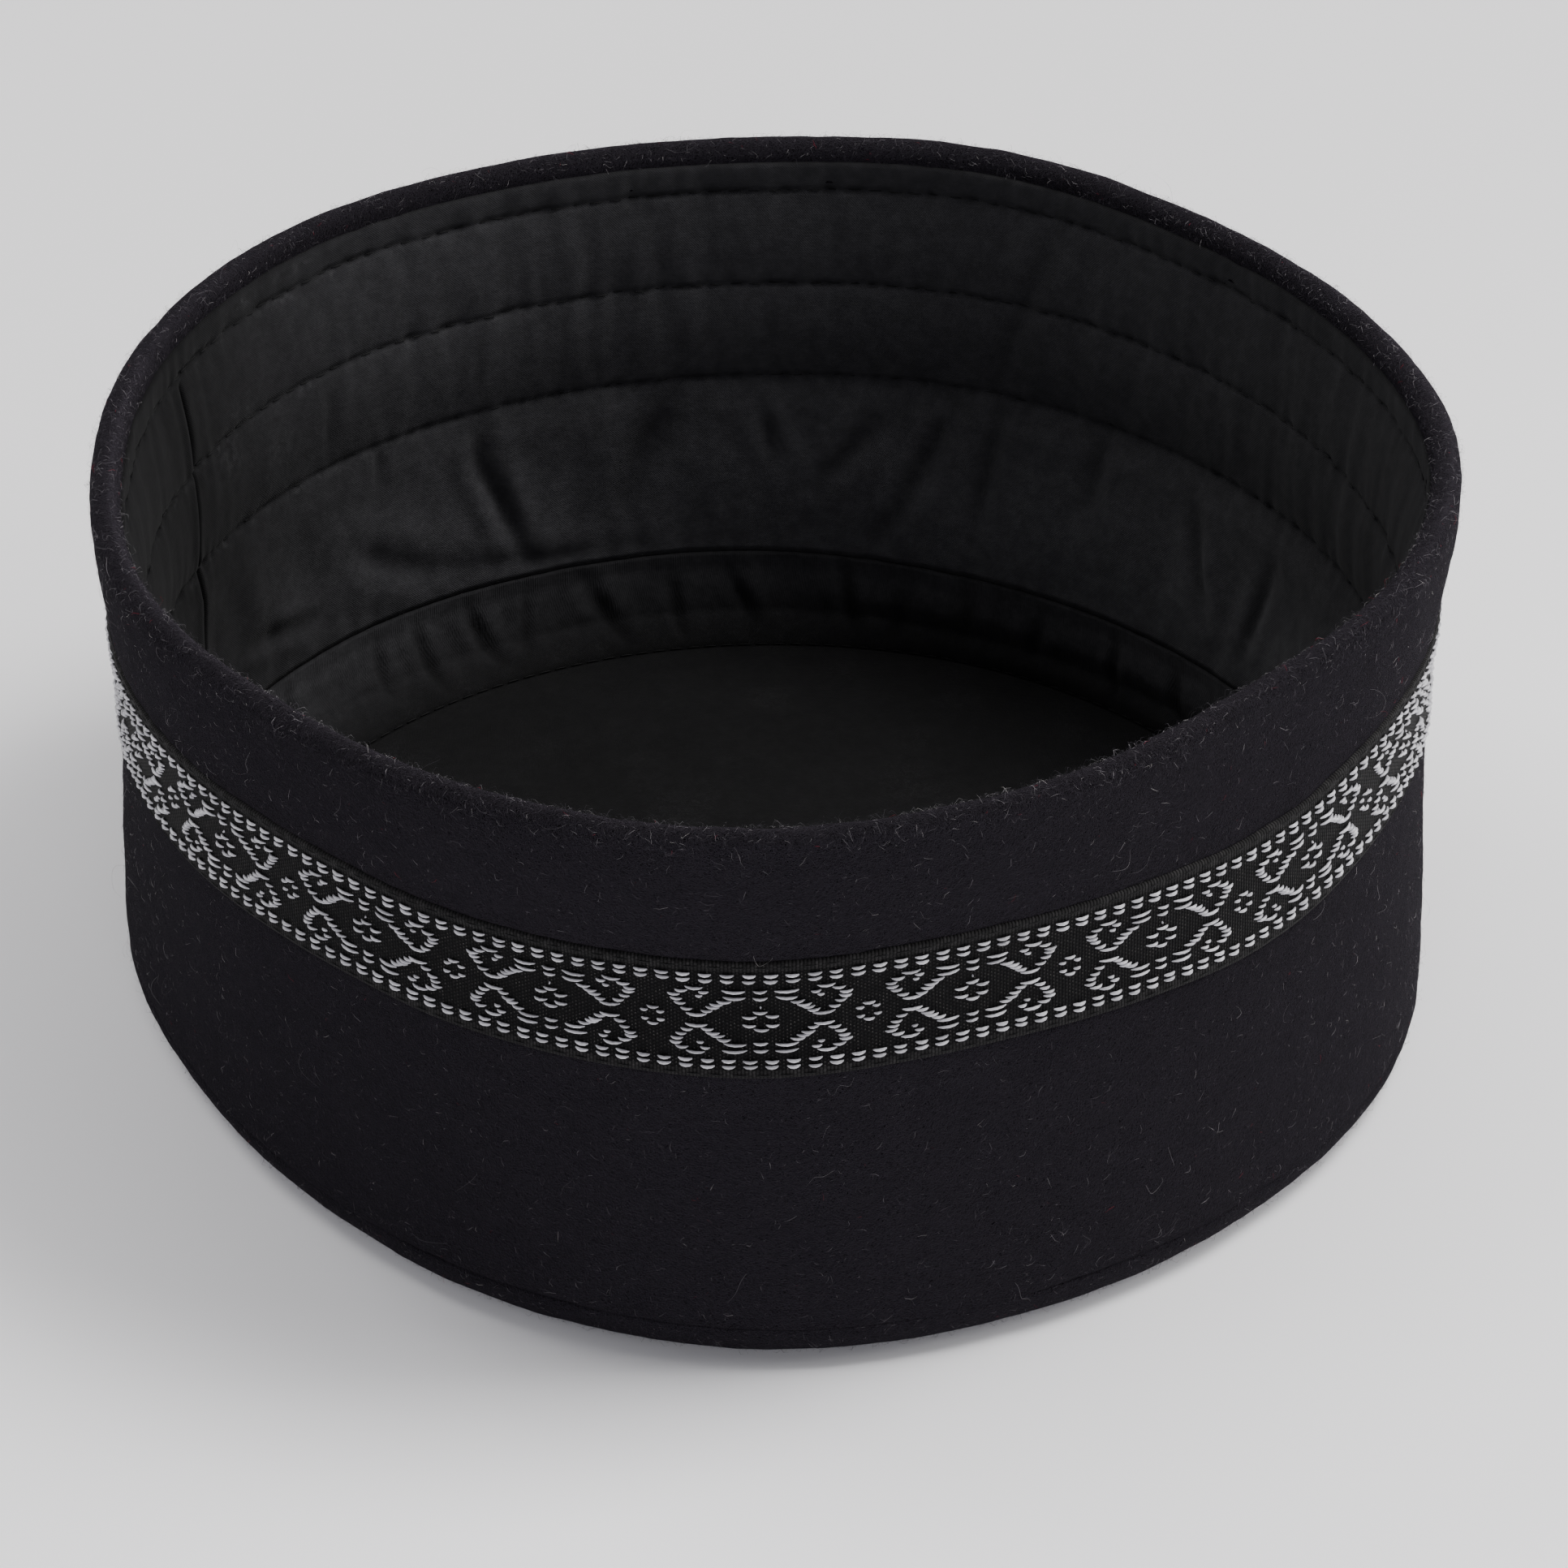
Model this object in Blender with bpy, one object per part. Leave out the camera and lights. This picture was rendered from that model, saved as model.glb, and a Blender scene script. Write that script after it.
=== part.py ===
"""A brimless felt cap, lying on its crown with the head opening upwards.

The felt side band is folded over at the rim, a woven ribbon runs round it, and a felt crown closes it below.
Inside, a quilted side lining hangs from the rim and is sewn to a lining on the crown.

Lengths below are in millimetres and angles in degrees, counted from the front (-Y) towards +X.
An inset is the distance inwards from the felt's outer surface, so the ribbon's face has a negative one.
"""
import math
from collections import namedtuple

import bmesh
import bpy
from mathutils import Vector

MM = 0.001

# Driving heights above the floor
RIM_HEIGHT = 86.0
WAIST_HEIGHT = 57.0
FOOT_HEIGHT = 9.0
CROWN_SEAM_HEIGHT = 6.5
LINING_SEAM_HEIGHT = 16.8

# Felt
FELT = 2.0
FOOT_ROUND = 6.4
RIM_ROLL = 2.1
TURN_IN = 6.5
SEAM_DIP = 0.9

# Ribbon
RIBBON_WIDTH = 18.7
RIBBON_PROUD = 0.6
RIBBON_SEAT = 0.7
RIBBON_EDGE = 0.55

# Linings
LINING = 1.3
LINING_TOP = RIM_HEIGHT - 3.0
LINING_PUFF = 1.0
STITCH_ROWS = (78.3, 63.0, 47.0)
CROWN_STITCH_INSET = 13.8

# Heights of the loose lining below its stitched rows, and the share of the slack that it has taken up there
LOOSE_ROWS = ((42.0, 0.30), (33.0, 0.62), (25.0, 0.85))

# Heights at which the felt's inner face and the lining's back follow each other up the flaring wall
WALL_HEIGHTS = (75.5, 66.0, 57.0, 47.0)

# Gaps between sewn pieces
GAP = 0.3
CROWN_TOP = FELT
FELT_STEPS = 80
LINING_STEPS = 90

# Outer radius of the felt at three heights, and how far in the lining's seam lies, all round the head:
# a row for every 22.5 degrees from the front towards +X
Station = namedtuple("Station", "rim waist foot slack")
STATIONS = (
    Station(rim=98.0, waist=95.8, foot=96.2, slack=8.5),
    Station(rim=95.8, waist=93.6, foot=95.8, slack=9.0),
    Station(rim=93.0, waist=94.0, foot=95.4, slack=9.2),
    Station(rim=96.2, waist=94.2, foot=96.0, slack=9.5),
    Station(rim=97.3, waist=93.7, foot=94.6, slack=9.8),
    Station(rim=95.2, waist=93.2, foot=94.2, slack=10.4),
    Station(rim=94.1, waist=92.8, foot=93.6, slack=10.8),
    Station(rim=96.0, waist=93.4, foot=93.6, slack=10.4),
    Station(rim=93.9, waist=92.4, foot=93.4, slack=7.6),
    Station(rim=94.5, waist=92.8, foot=93.6, slack=6.6),
    Station(rim=96.2, waist=93.8, foot=93.8, slack=5.6),
    Station(rim=94.6, waist=92.8, foot=93.8, slack=5.6),
    Station(rim=92.1, waist=90.2, foot=92.6, slack=6.6),
    Station(rim=92.4, waist=90.2, foot=88.4, slack=7.2),
    Station(rim=92.0, waist=90.4, foot=88.5, slack=7.6),
    Station(rim=95.3, waist=92.4, foot=92.6, slack=8.0),
)

# Folds of the loose lining between its lowest stitched row and its seam; a negative depth is a hollow
Fold = namedtuple("Fold", "top_angle foot_angle depth half_width")
FOLDS = (
    Fold(top_angle=-127, foot_angle=-132, depth=1.2, half_width=4.0),
    Fold(top_angle=-136, foot_angle=-142, depth=-0.9, half_width=4.5),
    Fold(top_angle=-145, foot_angle=-150, depth=1.6, half_width=3.5),
    Fold(top_angle=-152, foot_angle=-156, depth=-1.4, half_width=3.5),
    Fold(top_angle=-168, foot_angle=-160, depth=1.3, half_width=4.0),
    Fold(top_angle=-175, foot_angle=-168, depth=-1.5, half_width=3.5),
    Fold(top_angle=178, foot_angle=-178, depth=1.0, half_width=3.5),
    Fold(top_angle=168, foot_angle=176, depth=-1.4, half_width=3.5),
    Fold(top_angle=161, foot_angle=169, depth=1.4, half_width=3.5),
    Fold(top_angle=153, foot_angle=158, depth=-1.4, half_width=4.0),
    Fold(top_angle=143, foot_angle=146, depth=1.1, half_width=4.0),
    Fold(top_angle=122, foot_angle=128, depth=-1.0, half_width=5.0),
    Fold(top_angle=86, foot_angle=80, depth=1.2, half_width=5.0),
    Fold(top_angle=44, foot_angle=50, depth=-1.2, half_width=5.0),
    Fold(top_angle=8, foot_angle=2, depth=1.2, half_width=5.0),
    Fold(top_angle=-36, foot_angle=-30, depth=-1.2, half_width=5.0),
    Fold(top_angle=-84, foot_angle=-90, depth=1.2, half_width=5.0),
)

# A section's point; its slack is the share of the station's slack that is added to its inset
Row = namedtuple("Row", "height inset slack", defaults=(0.0,))


def smooth_step(value):
    """Eases from 0 to 1 as the value goes from 0 to 1."""
    value = min(max(value, 0.0), 1.0)
    return value * value * (3.0 - 2.0 * value)


def station_radius(angle, column):
    """One column of the station table at any angle, on a smooth closed curve through its rows."""
    place = (angle % 360.0) / 360.0 * len(STATIONS)
    first = int(place)
    t = place - first
    before, start, end, after = (
        getattr(STATIONS[(first + step) % len(STATIONS)], column) for step in (-1, 0, 1, 2))
    start_slope = (end - before) / 2.0
    end_slope = (after - start) / 2.0
    return ((2 * t ** 3 - 3 * t ** 2 + 1) * start + (t ** 3 - 2 * t ** 2 + t) * start_slope
            + (3 * t ** 2 - 2 * t ** 3) * end + (t ** 3 - t ** 2) * end_slope)


def outer_radius(angle, height):
    """Radius of the felt's outer surface: nearly upright to the waist, then flaring to the rim."""
    waist = station_radius(angle, "waist")
    if height < WAIST_HEIGHT:
        foot = station_radius(angle, "foot")
        return foot + (waist - foot) * smooth_step((height - FOOT_HEIGHT) / (WAIST_HEIGHT - FOOT_HEIGHT))
    rim = station_radius(angle, "rim")
    return waist + (rim - waist) * smooth_step((height - WAIST_HEIGHT) / (RIM_HEIGHT - RIM_ROLL - WAIST_HEIGHT))


def angle_between(angle, other):
    """Signed turn from one angle to the other, between -180 and 180."""
    return (angle - other + 180.0) % 360.0 - 180.0


def fold_depth(angle, height):
    """How far the loose lining stands inwards at its folds."""
    lowest_row = STITCH_ROWS[-1]
    drop = (lowest_row - height) / (lowest_row - LINING_SEAM_HEIGHT)
    if not 0.0 < drop < 1.0:
        return 0.0
    depth = 0.0
    for fold in FOLDS:
        line = fold.top_angle + angle_between(fold.foot_angle, fold.top_angle) * drop
        across = angle_between(angle, line) / fold.half_width
        depth += fold.depth * math.exp(-across * across)
    return depth * math.sin(math.pi * drop)


def point_at(angle, height, inset):
    turn = math.radians(angle)
    radius = outer_radius(angle, max(height, FOOT_HEIGHT)) - inset
    return Vector((radius * math.sin(turn), -radius * math.cos(turn), height))


def plan_centre():
    """Middle of the cap's outline seen from above, which becomes the origin."""
    outline = [point_at(angle, height, 0.0) for angle in range(360) for height in (FOOT_HEIGHT, RIM_HEIGHT)]
    across = [point.x for point in outline]
    along = [point.y for point in outline]
    return Vector(((min(across) + max(across)) / 2.0, (min(along) + max(along)) / 2.0, 0.0))


def quarter_round(radius, offset, height):
    """Inset of a rounded foot edge at a height, for an arc centred FOOT_ROUND up and in from the outer surface."""
    drop = FOOT_ROUND - height
    return offset - math.sqrt(radius * radius - drop * drop)


def turned(name, rows, steps, colour, roughness, folded=False):
    """Spins a section given as rows of height and inset, then gives each point the cap's own radius.

    A row whose inset is None lies on the axis.
    """
    mesh_data = bmesh.new()
    slack_share = mesh_data.verts.layers.float.new("slack")
    reach = 100.0
    section = []
    for row in rows:
        radius = 0.0 if row.inset is None else reach - row.inset
        vert = mesh_data.verts.new((0.0, -radius, row.height))
        vert[slack_share] = row.slack
        section.append(vert)
    closed = rows[0].inset is not None
    pairs = zip(section, section[1:] + section[:1]) if closed else zip(section, section[1:])
    edges = [mesh_data.edges.new(pair) for pair in pairs]
    bmesh.ops.spin(mesh_data, geom=section + edges, cent=(0, 0, 0), axis=(0, 0, 1), steps=steps,
                   angle=math.tau, use_merge=True)
    bmesh.ops.remove_doubles(mesh_data, verts=mesh_data.verts, dist=0.01)
    centre = plan_centre()
    for vert in mesh_data.verts:
        spun = math.hypot(vert.co.x, vert.co.y)
        if spun > 0.01:
            angle = math.degrees(math.atan2(vert.co.x, -vert.co.y))
            inset = reach - spun + vert[slack_share] * station_radius(angle, "slack")
            if folded:
                inset += fold_depth(angle, vert.co.z)
            vert.co = point_at(angle, vert.co.z, inset) - centre
    bmesh.ops.triangulate(mesh_data, faces=mesh_data.faces)
    bmesh.ops.recalc_face_normals(mesh_data, faces=mesh_data.faces)
    bmesh.ops.scale(mesh_data, vec=(MM, MM, MM), verts=mesh_data.verts)
    mesh = bpy.data.meshes.new(name)
    mesh_data.to_mesh(mesh)
    mesh_data.free()
    mesh.shade_smooth()
    mesh.set_sharp_from_angle(angle=math.radians(50))
    piece = bpy.data.objects.new(name, mesh)
    bpy.context.collection.objects.link(piece)
    material = bpy.data.materials.new(name)
    material.use_nodes = True
    shader = material.node_tree.nodes["Principled BSDF"]
    shader.inputs["Base Color"].default_value = (*colour, 1.0)
    shader.inputs["Roughness"].default_value = roughness
    shader.inputs["Metallic"].default_value = 0.0
    mesh.materials.append(material)
    return piece


def build_side_band():
    """Felt wall from the crown seam to the rim, doubled where it is turned in over the rim."""
    ribbon_low = WAIST_HEIGHT - RIBBON_WIDTH / 2.0
    ribbon_high = WAIST_HEIGHT + RIBBON_WIDTH / 2.0
    seam = CROWN_SEAM_HEIGHT + GAP / 2.0
    roll_height = RIM_HEIGHT - RIM_ROLL
    turned_edge = RIM_HEIGHT - TURN_IN
    outside = [
        Row(seam, SEAM_DIP),
        Row(seam + 0.9, 0.25),
        Row(FOOT_HEIGHT, 0.0),
        Row(21.0, 0.0),
        Row(34.0, 0.0),
        Row(ribbon_low - GAP, 0.0),
        Row(ribbon_low - GAP, RIBBON_SEAT),
        Row(ribbon_high + GAP, RIBBON_SEAT),
        Row(ribbon_high + GAP, 0.0),
        Row(WALL_HEIGHTS[0], 0.0),
    ]
    roll = []
    roll_steps = 4
    for step in range(roll_steps + 1):
        turn = math.pi * step / roll_steps
        roll.append(Row(roll_height + RIM_ROLL * math.sin(turn), RIM_ROLL - RIM_ROLL * math.cos(turn)))
    inside = [
        Row(turned_edge, 2.0 * RIM_ROLL),
        Row(turned_edge - 0.6, FELT),
    ]
    inside += [Row(height, FELT) for height in WALL_HEIGHTS]
    inside += [Row(28.0, FELT), Row(seam, FELT + 0.6)]
    return turned("side_band", outside + roll + inside, FELT_STEPS, (0.012, 0.011, 0.014), 0.95)


def build_crown():
    """Felt crown: flat where it rests, with its edge curving up to the seam."""
    seam = CROWN_SEAM_HEIGHT - GAP / 2.0
    outer_arc = FOOT_ROUND
    inner_arc = FOOT_ROUND - FELT
    underside = [Row(0.0, None), Row(0.0, FOOT_ROUND)]
    for height in (0.2, 0.8, 2.0, 3.6):
        underside.append(Row(height, quarter_round(outer_arc, FOOT_ROUND, height)))
    edge = [Row(seam - 0.8, 0.45), Row(seam, SEAM_DIP), Row(seam, SEAM_DIP + FELT - 0.3)]
    top = []
    for height in (4.4, 2.7):
        top.append(Row(height, quarter_round(inner_arc, FOOT_ROUND, height)))
    top += [Row(CROWN_TOP, FOOT_ROUND), Row(CROWN_TOP, None)]
    return turned("crown", underside + edge + top, FELT_STEPS, (0.012, 0.011, 0.014), 0.95)


def build_ribbon():
    """Woven band sewn flat round the waist, in its shallow seat in the felt."""
    low = WAIST_HEIGHT - RIBBON_WIDTH / 2.0
    high = WAIST_HEIGHT + RIBBON_WIDTH / 2.0
    rows = [
        Row(low, RIBBON_SEAT - GAP),
        Row(low, -RIBBON_PROUD / 2.0),
        Row(low + RIBBON_EDGE, -RIBBON_PROUD),
        Row(high - RIBBON_EDGE, -RIBBON_PROUD),
        Row(high, -RIBBON_PROUD / 2.0),
        Row(high, RIBBON_SEAT - GAP),
    ]
    return turned("ribbon", rows, FELT_STEPS, (0.10, 0.10, 0.11), 0.5)


def build_side_lining():
    """Quilted lining: stitched flat in three rows, loose and folded below them, sewn to the crown lining."""
    over_turn_in = 2.0 * RIM_ROLL + GAP
    on_felt = FELT + GAP + 0.1
    turned_edge = RIM_HEIGHT - TURN_IN
    lowest_row = STITCH_ROWS[-1]
    seam = LINING_SEAM_HEIGHT + GAP / 2.0
    inside = [Row(LINING_TOP, over_turn_in + 0.6), Row(LINING_TOP - 0.9, over_turn_in + LINING)]
    for row_height, next_height in zip(STITCH_ROWS, STITCH_ROWS[1:]):
        inside.append(Row(row_height, on_felt + LINING + 0.7))
        inside.append(Row((row_height + next_height) / 2.0, on_felt + LINING + LINING_PUFF + 0.5))
    inside.append(Row(lowest_row, on_felt + LINING + 0.4))
    behind = []
    for height, share in LOOSE_ROWS:
        inset = (on_felt + LINING) * (1.0 - share)
        inside.append(Row(height, inset + LINING_PUFF * (1.0 - share), share))
        behind.append(Row(height, inset - LINING, share))
    inside.append(Row(seam, 0.0, 1.0))
    behind.append(Row(seam, -LINING, 1.0))
    behind.reverse()
    behind += [Row(height, on_felt) for height in reversed(WALL_HEIGHTS)]
    behind += [Row(turned_edge - 1.2, over_turn_in), Row(LINING_TOP, over_turn_in)]
    return turned("side_lining", inside + behind, LINING_STEPS, (0.011, 0.012, 0.011), 0.85, folded=True)


def build_crown_lining():
    """Lining of the crown: it dips from its seam to a stitched ring, then lies flat on the felt."""
    seam = LINING_SEAM_HEIGHT - GAP / 2.0
    under = CROWN_TOP + GAP
    over = under + LINING
    ring = CROWN_STITCH_INSET
    rows = [
        Row(under, None),
        Row(under, ring + 1.6),
        Row(under + 2.2, 0.45 * ring + 0.8, 0.45),
        Row(10.0, -0.2, 1.0),
        Row(seam, -LINING, 1.0),
        Row(seam, 0.0, 1.0),
        Row(10.0, -0.2 + LINING, 1.0),
        Row(over + 1.9, 0.45 * ring + 0.8 + LINING, 0.45),
        Row(over + 0.1, ring + 0.4),
        Row(over + 0.4, ring + 4.0),
        Row(over, None),
    ]
    return turned("crown_lining", rows, LINING_STEPS, (0.010, 0.011, 0.010), 0.88)


def main():
    for old in list(bpy.data.objects):
        bpy.data.objects.remove(old, do_unlink=True)
    build_side_band()
    build_crown()
    build_ribbon()
    build_side_lining()
    build_crown_lining()


main()
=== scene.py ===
import math

import bmesh
import bpy
import numpy as np
from mathutils import Matrix, Vector, noise


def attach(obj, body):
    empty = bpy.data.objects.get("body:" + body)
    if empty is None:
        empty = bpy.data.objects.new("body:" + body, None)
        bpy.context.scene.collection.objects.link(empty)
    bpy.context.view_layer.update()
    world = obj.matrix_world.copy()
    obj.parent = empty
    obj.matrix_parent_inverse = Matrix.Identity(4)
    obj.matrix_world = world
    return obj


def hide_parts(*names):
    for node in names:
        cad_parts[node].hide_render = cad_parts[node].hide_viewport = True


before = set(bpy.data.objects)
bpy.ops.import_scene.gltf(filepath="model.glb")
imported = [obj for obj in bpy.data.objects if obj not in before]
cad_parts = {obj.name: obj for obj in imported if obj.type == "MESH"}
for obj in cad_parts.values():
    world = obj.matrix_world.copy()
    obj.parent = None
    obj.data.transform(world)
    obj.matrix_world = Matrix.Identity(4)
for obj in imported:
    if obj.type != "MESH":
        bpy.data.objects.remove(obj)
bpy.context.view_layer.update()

# The cap's own form. Lengths are in millimetres and angles in degrees from the front (-Y) towards +X.
# An inset is the distance inwards from the felt's outer surface.
mm = 0.001
capForm = {
    "rimHeight": 86,
    "waistHeight": 57,
    "footHeight": 9,
    "crownSeam": 6.5,
    "liningSeam": 16.8,
    "felt": 2,
    "footRound": 6.4,
    "rimRoll": 2.1,
    "turnIn": 6.5,
    "seamDip": 0.24,
    "gap": 0.06,
    "rim": (98, 95.8, 93, 96.2, 97.3, 95.2, 94.1, 96, 93.9, 94.5, 96.2, 94.6, 92.1, 92.4, 92, 95.3),
    "waist": (95.8, 93.6, 94, 94.2, 93.7, 93.2, 92.8, 93.4, 92.4, 92.8, 93.8, 92.8, 90.2, 90.2, 90.4, 92.4),
    "foot": (96.2, 95.8, 95.4, 96, 94.6, 94.2, 93.6, 93.6, 93.4, 93.6, 93.8, 93.8, 92.6, 88.4, 88.5, 92.6),
    "slack": (8.5, 9, 9.2, 9.5, 9.8, 10.4, 10.8, 10.4, 7.6, 6.6, 5.6, 5.6, 6.6, 7.2, 7.6, 8),
}
rimHeight, waistHeight, footHeight = capForm["rimHeight"], capForm["waistHeight"], capForm["footHeight"]
crownSeam, liningSeam = capForm["crownSeam"], capForm["liningSeam"]
roundUnits = 600       # a UV map's length round the cap, about a millimetre a unit


def smoothStep(values):
    values = np.clip(values, 0, 1)
    return values * values * (3 - 2 * values)


def aroundValue(column, angles):
    # one of the form's columns on a smooth closed curve through its values
    values = np.array(capForm[column])
    count = len(values)
    place = np.mod(angles, 360) / 360 * count
    first = np.floor(place).astype(int)
    t = place - first
    before, start, end, after = (values[(first + step) % count] for step in (-1, 0, 1, 2))
    startSlope = (end - before) / 2
    endSlope = (after - start) / 2
    return ((2 * t ** 3 - 3 * t ** 2 + 1) * start + (t ** 3 - 2 * t ** 2 + t) * startSlope
            + (3 * t ** 2 - 2 * t ** 3) * end + (t ** 3 - t ** 2) * endSlope)


def outerRadius(angles, heights):
    # nearly upright from the foot to the waist, then flaring to the rim
    waist = aroundValue("waist", angles)
    foot = aroundValue("foot", angles)
    rim = aroundValue("rim", angles)
    rollHeight = rimHeight - capForm["rimRoll"]
    low = foot + (waist - foot) * smoothStep((heights - footHeight) / (waistHeight - footHeight))
    high = waist + (rim - waist) * smoothStep((heights - waistHeight) / (rollHeight - waistHeight))
    return np.where(heights < waistHeight, low, high)


def rawPoints(angles, heights, insets):
    turns = np.radians(angles)
    radii = outerRadius(angles, np.maximum(heights, footHeight)) - insets
    return np.stack(np.broadcast_arrays(radii * np.sin(turns), -radii * np.cos(turns), heights), axis=-1)


def planCentre():
    angles = np.arange(360)
    outline = np.concatenate([rawPoints(angles, height, 0)
                              for height in (footHeight, rimHeight)])
    middle = (outline.min(axis=0) + outline.max(axis=0)) / 2
    return np.array((middle[0], middle[1], 0))


centre = planCentre()

# how far the sewn ribbon wanders up from its level line: angle, millimetres
ribbonWander = (
    (-78, 0.5), (-70, 1.5), (-57, 1.2), (-44, 1.4), (-36, 1.1), (-28, 0), (-18, -0.35), (-8, -0.1),
    (0, -0.05), (10, 0.5), (18, 0.45), (26, 0.1), (34, -0.2), (42, -0.8), (49, -0.6), (58, 0.8),
    (66, 1.6), (76, 0.9), (95, 0), (130, -0.4), (165, 0.3), (200, -0.2), (240, 0.4), (262, -0.1),
)


def smoothWander():
    angles = np.arange(720) / 2
    turns, rises = zip(*ribbonWander)
    rough = np.interp(angles, np.mod(turns, 360), rises, period=360)
    window = np.hanning(15)
    padded = np.concatenate((rough[-7:], rough, rough[:7]))
    return angles, np.convolve(padded, window / window.sum(), mode="valid")


wanderAngles, wanderRises = smoothWander()


def ribbonRise(angles):
    return np.interp(np.mod(angles, 360), wanderAngles, wanderRises, period=360)


def besideRibbon(heights):
    # 1 under the ribbon, dying out in the felt above and below it
    return smoothStep(1 - (np.abs(heights - waistHeight) - 9.8) / 8)


def capPoints(angles, heights, insets):
    # points in metres in the frame of the CAD model
    return (rawPoints(angles, heights, insets) - centre) * mm


def bell(distances, width):
    return np.exp(-(distances / width) ** 2)


def unit(vectors):
    return vectors / np.maximum(np.linalg.norm(vectors, axis=-1, keepdims=True), 1e-12)


def surfaceFrame(angles, heights, insets, tilts):
    # point, outward normal and direction round the cap; a tilt of 90 turns the normal up, and 180 inwards
    points = capPoints(angles, heights, insets)
    along = unit(capPoints(angles + 0.3, heights, insets) - points)
    up = unit(capPoints(angles, heights + 0.3, insets) - points)
    outward = unit(np.cross(along, up))
    lean = np.radians(tilts)[..., None]
    return points, unit(outward * np.cos(lean) + up * np.sin(lean)), along


def noiseAt(points, scale, seed=0):
    shift = Vector((seed * 7.31, seed * 3.17, seed * 5.73))
    return np.array([noise.noise(Vector(point) * scale + shift) for point in points])


# Making meshes

def denseRows(rows, spacing):
    # rows with more of them put in between, at most a spacing apart
    dense = []
    for start, end in zip(rows, rows[1:]):
        length = math.hypot(end[0] - start[0], end[1] - start[1])
        steps = max(1, math.ceil(length / spacing))
        for step in range(steps):
            share = step / steps
            dense.append(tuple(a + (b - a) * share for a, b in zip(start, end)))
    dense.append(rows[-1])
    return dense


def spinSection(name, rows, steps, closed=True):
    # spins rows of (height, inset, slack share) about the upright axis, at a reach that stands for the felt's
    # outer surface; returns the mesh with each vertex's angle, height, inset and slack share
    reach = 100
    bm = bmesh.new()
    share = bm.verts.layers.float.new("share")
    section = []
    for height, inset, *slackShare in rows:
        vert = bm.verts.new((0, inset - reach, height))
        vert[share] = sum(slackShare)
        section.append(vert)
    pairs = zip(section, section[1:] + section[:1]) if closed else zip(section, section[1:])
    edges = [bm.edges.new(pair) for pair in pairs]
    bmesh.ops.spin(bm, geom=section + edges, cent=(0, 0, 0), axis=(0, 0, 1), angle=math.tau, steps=steps,
                   use_merge=True)
    bmesh.ops.remove_doubles(bm, verts=bm.verts, dist=0.001)
    bmesh.ops.recalc_face_normals(bm, faces=bm.faces)
    mesh = finishedMesh(bm, name)
    spots = vertexArray(mesh)
    slackShares = readArray(mesh.attributes["share"].data, "value")
    angles = np.degrees(np.arctan2(spots[:, 0], -spots[:, 1]))
    insets = reach - np.hypot(spots[:, 0], spots[:, 1])
    return mesh, angles, spots[:, 2].copy(), insets, slackShares.astype(float)


def readArray(items, field, width=1, kind=np.float32):
    values = np.zeros(len(items) * width, kind)
    items.foreach_get(field, values)
    return values if width == 1 else values.reshape(-1, width)


def vertexArray(mesh):
    return readArray(mesh.vertices, "co", 3).astype(float)


def cornerVertices(mesh):
    return readArray(mesh.loops, "vertex_index", 1, np.int32)


def setVertices(mesh, points):
    mesh.vertices.foreach_set("co", np.asarray(points, np.float32).ravel())
    mesh.update()


def addMap(mesh, name, along, across):
    spots = np.stack((along, across), axis=1)
    mesh.uv_layers.new(name=name).data.foreach_set("uv", spots.astype(np.float32).ravel())


def addRoundMap(mesh, angles, across):
    # a UV map that runs round the cap along u, without a jump where the angle starts again
    corners = cornerVertices(mesh)
    starts, totals = (readArray(mesh.polygons, field, 1, np.int32) for field in ("loop_start", "loop_total"))
    cornerAngles = np.mod(angles[corners], 360)
    highest = np.maximum.reduceat(cornerAngles, starts)
    cornerAngles[np.repeat(highest, totals) - cornerAngles > 180] += 360
    addMap(mesh, "round", cornerAngles / 360 * roundUnits, across[corners])


def finishedMesh(bm, name):
    mesh = bpy.data.meshes.new(name)
    bm.to_mesh(mesh)
    bm.free()
    return mesh


def joinedCopies(name, template, positions):
    # one mesh of many copies of a template; positions holds each copy's own place for each vertex
    copies, count = positions.shape[:2]
    corners = cornerVertices(template)
    sizes = readArray(template.polygons, "loop_total", 1, np.int32)
    allCorners = (corners[None, :] + np.arange(copies)[:, None] * count).ravel()
    allSizes = np.tile(sizes, copies)
    mesh = bpy.data.meshes.new(name)
    mesh.vertices.add(copies * count)
    mesh.loops.add(len(allCorners))
    mesh.polygons.add(len(allSizes))
    mesh.vertices.foreach_set("co", positions.astype(np.float32).ravel())
    mesh.loops.foreach_set("vertex_index", allCorners.astype(np.int32))
    starts = np.concatenate(([0], np.cumsum(allSizes)[:-1]))
    mesh.polygons.foreach_set("loop_start", starts.astype(np.int32))
    mesh.update(calc_edges=True)
    mesh.validate()
    return mesh


def addValues(mesh, name, values):
    attribute = mesh.attributes.new(name, "FLOAT", "POINT")
    attribute.data.foreach_set("value", np.asarray(values, np.float32).ravel())


def addObject(name, data):
    made = bpy.data.objects.new(name, data)
    bpy.context.scene.collection.objects.link(made)
    return made


def addPiece(mesh, material, slot, *replaced):
    mesh.shade_smooth()
    mesh.materials.append(material)
    piece = addObject(mesh.name, mesh)
    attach(piece, "root")
    for node in replaced:
        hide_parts(node)


# Shader helpers; they all work on the node tree that lies on the bench

bench = {}


def plug(socket, value):
    if isinstance(value, bpy.types.NodeSocket):
        bench["tree"].links.new(value, socket)
    else:
        socket.default_value = (*value, 1) if socket.type == "RGBA" else value


def startMaterial(name, **looks):
    # a material whose shader has the given plain values
    material = bpy.data.materials.new(name)
    material.use_nodes = True
    bench["tree"] = material.node_tree
    shader = material.node_tree.nodes["Principled BSDF"].inputs
    for key, value in looks.items():
        plug(shader[key.replace("_", " ")], value)
    return material, shader


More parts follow.
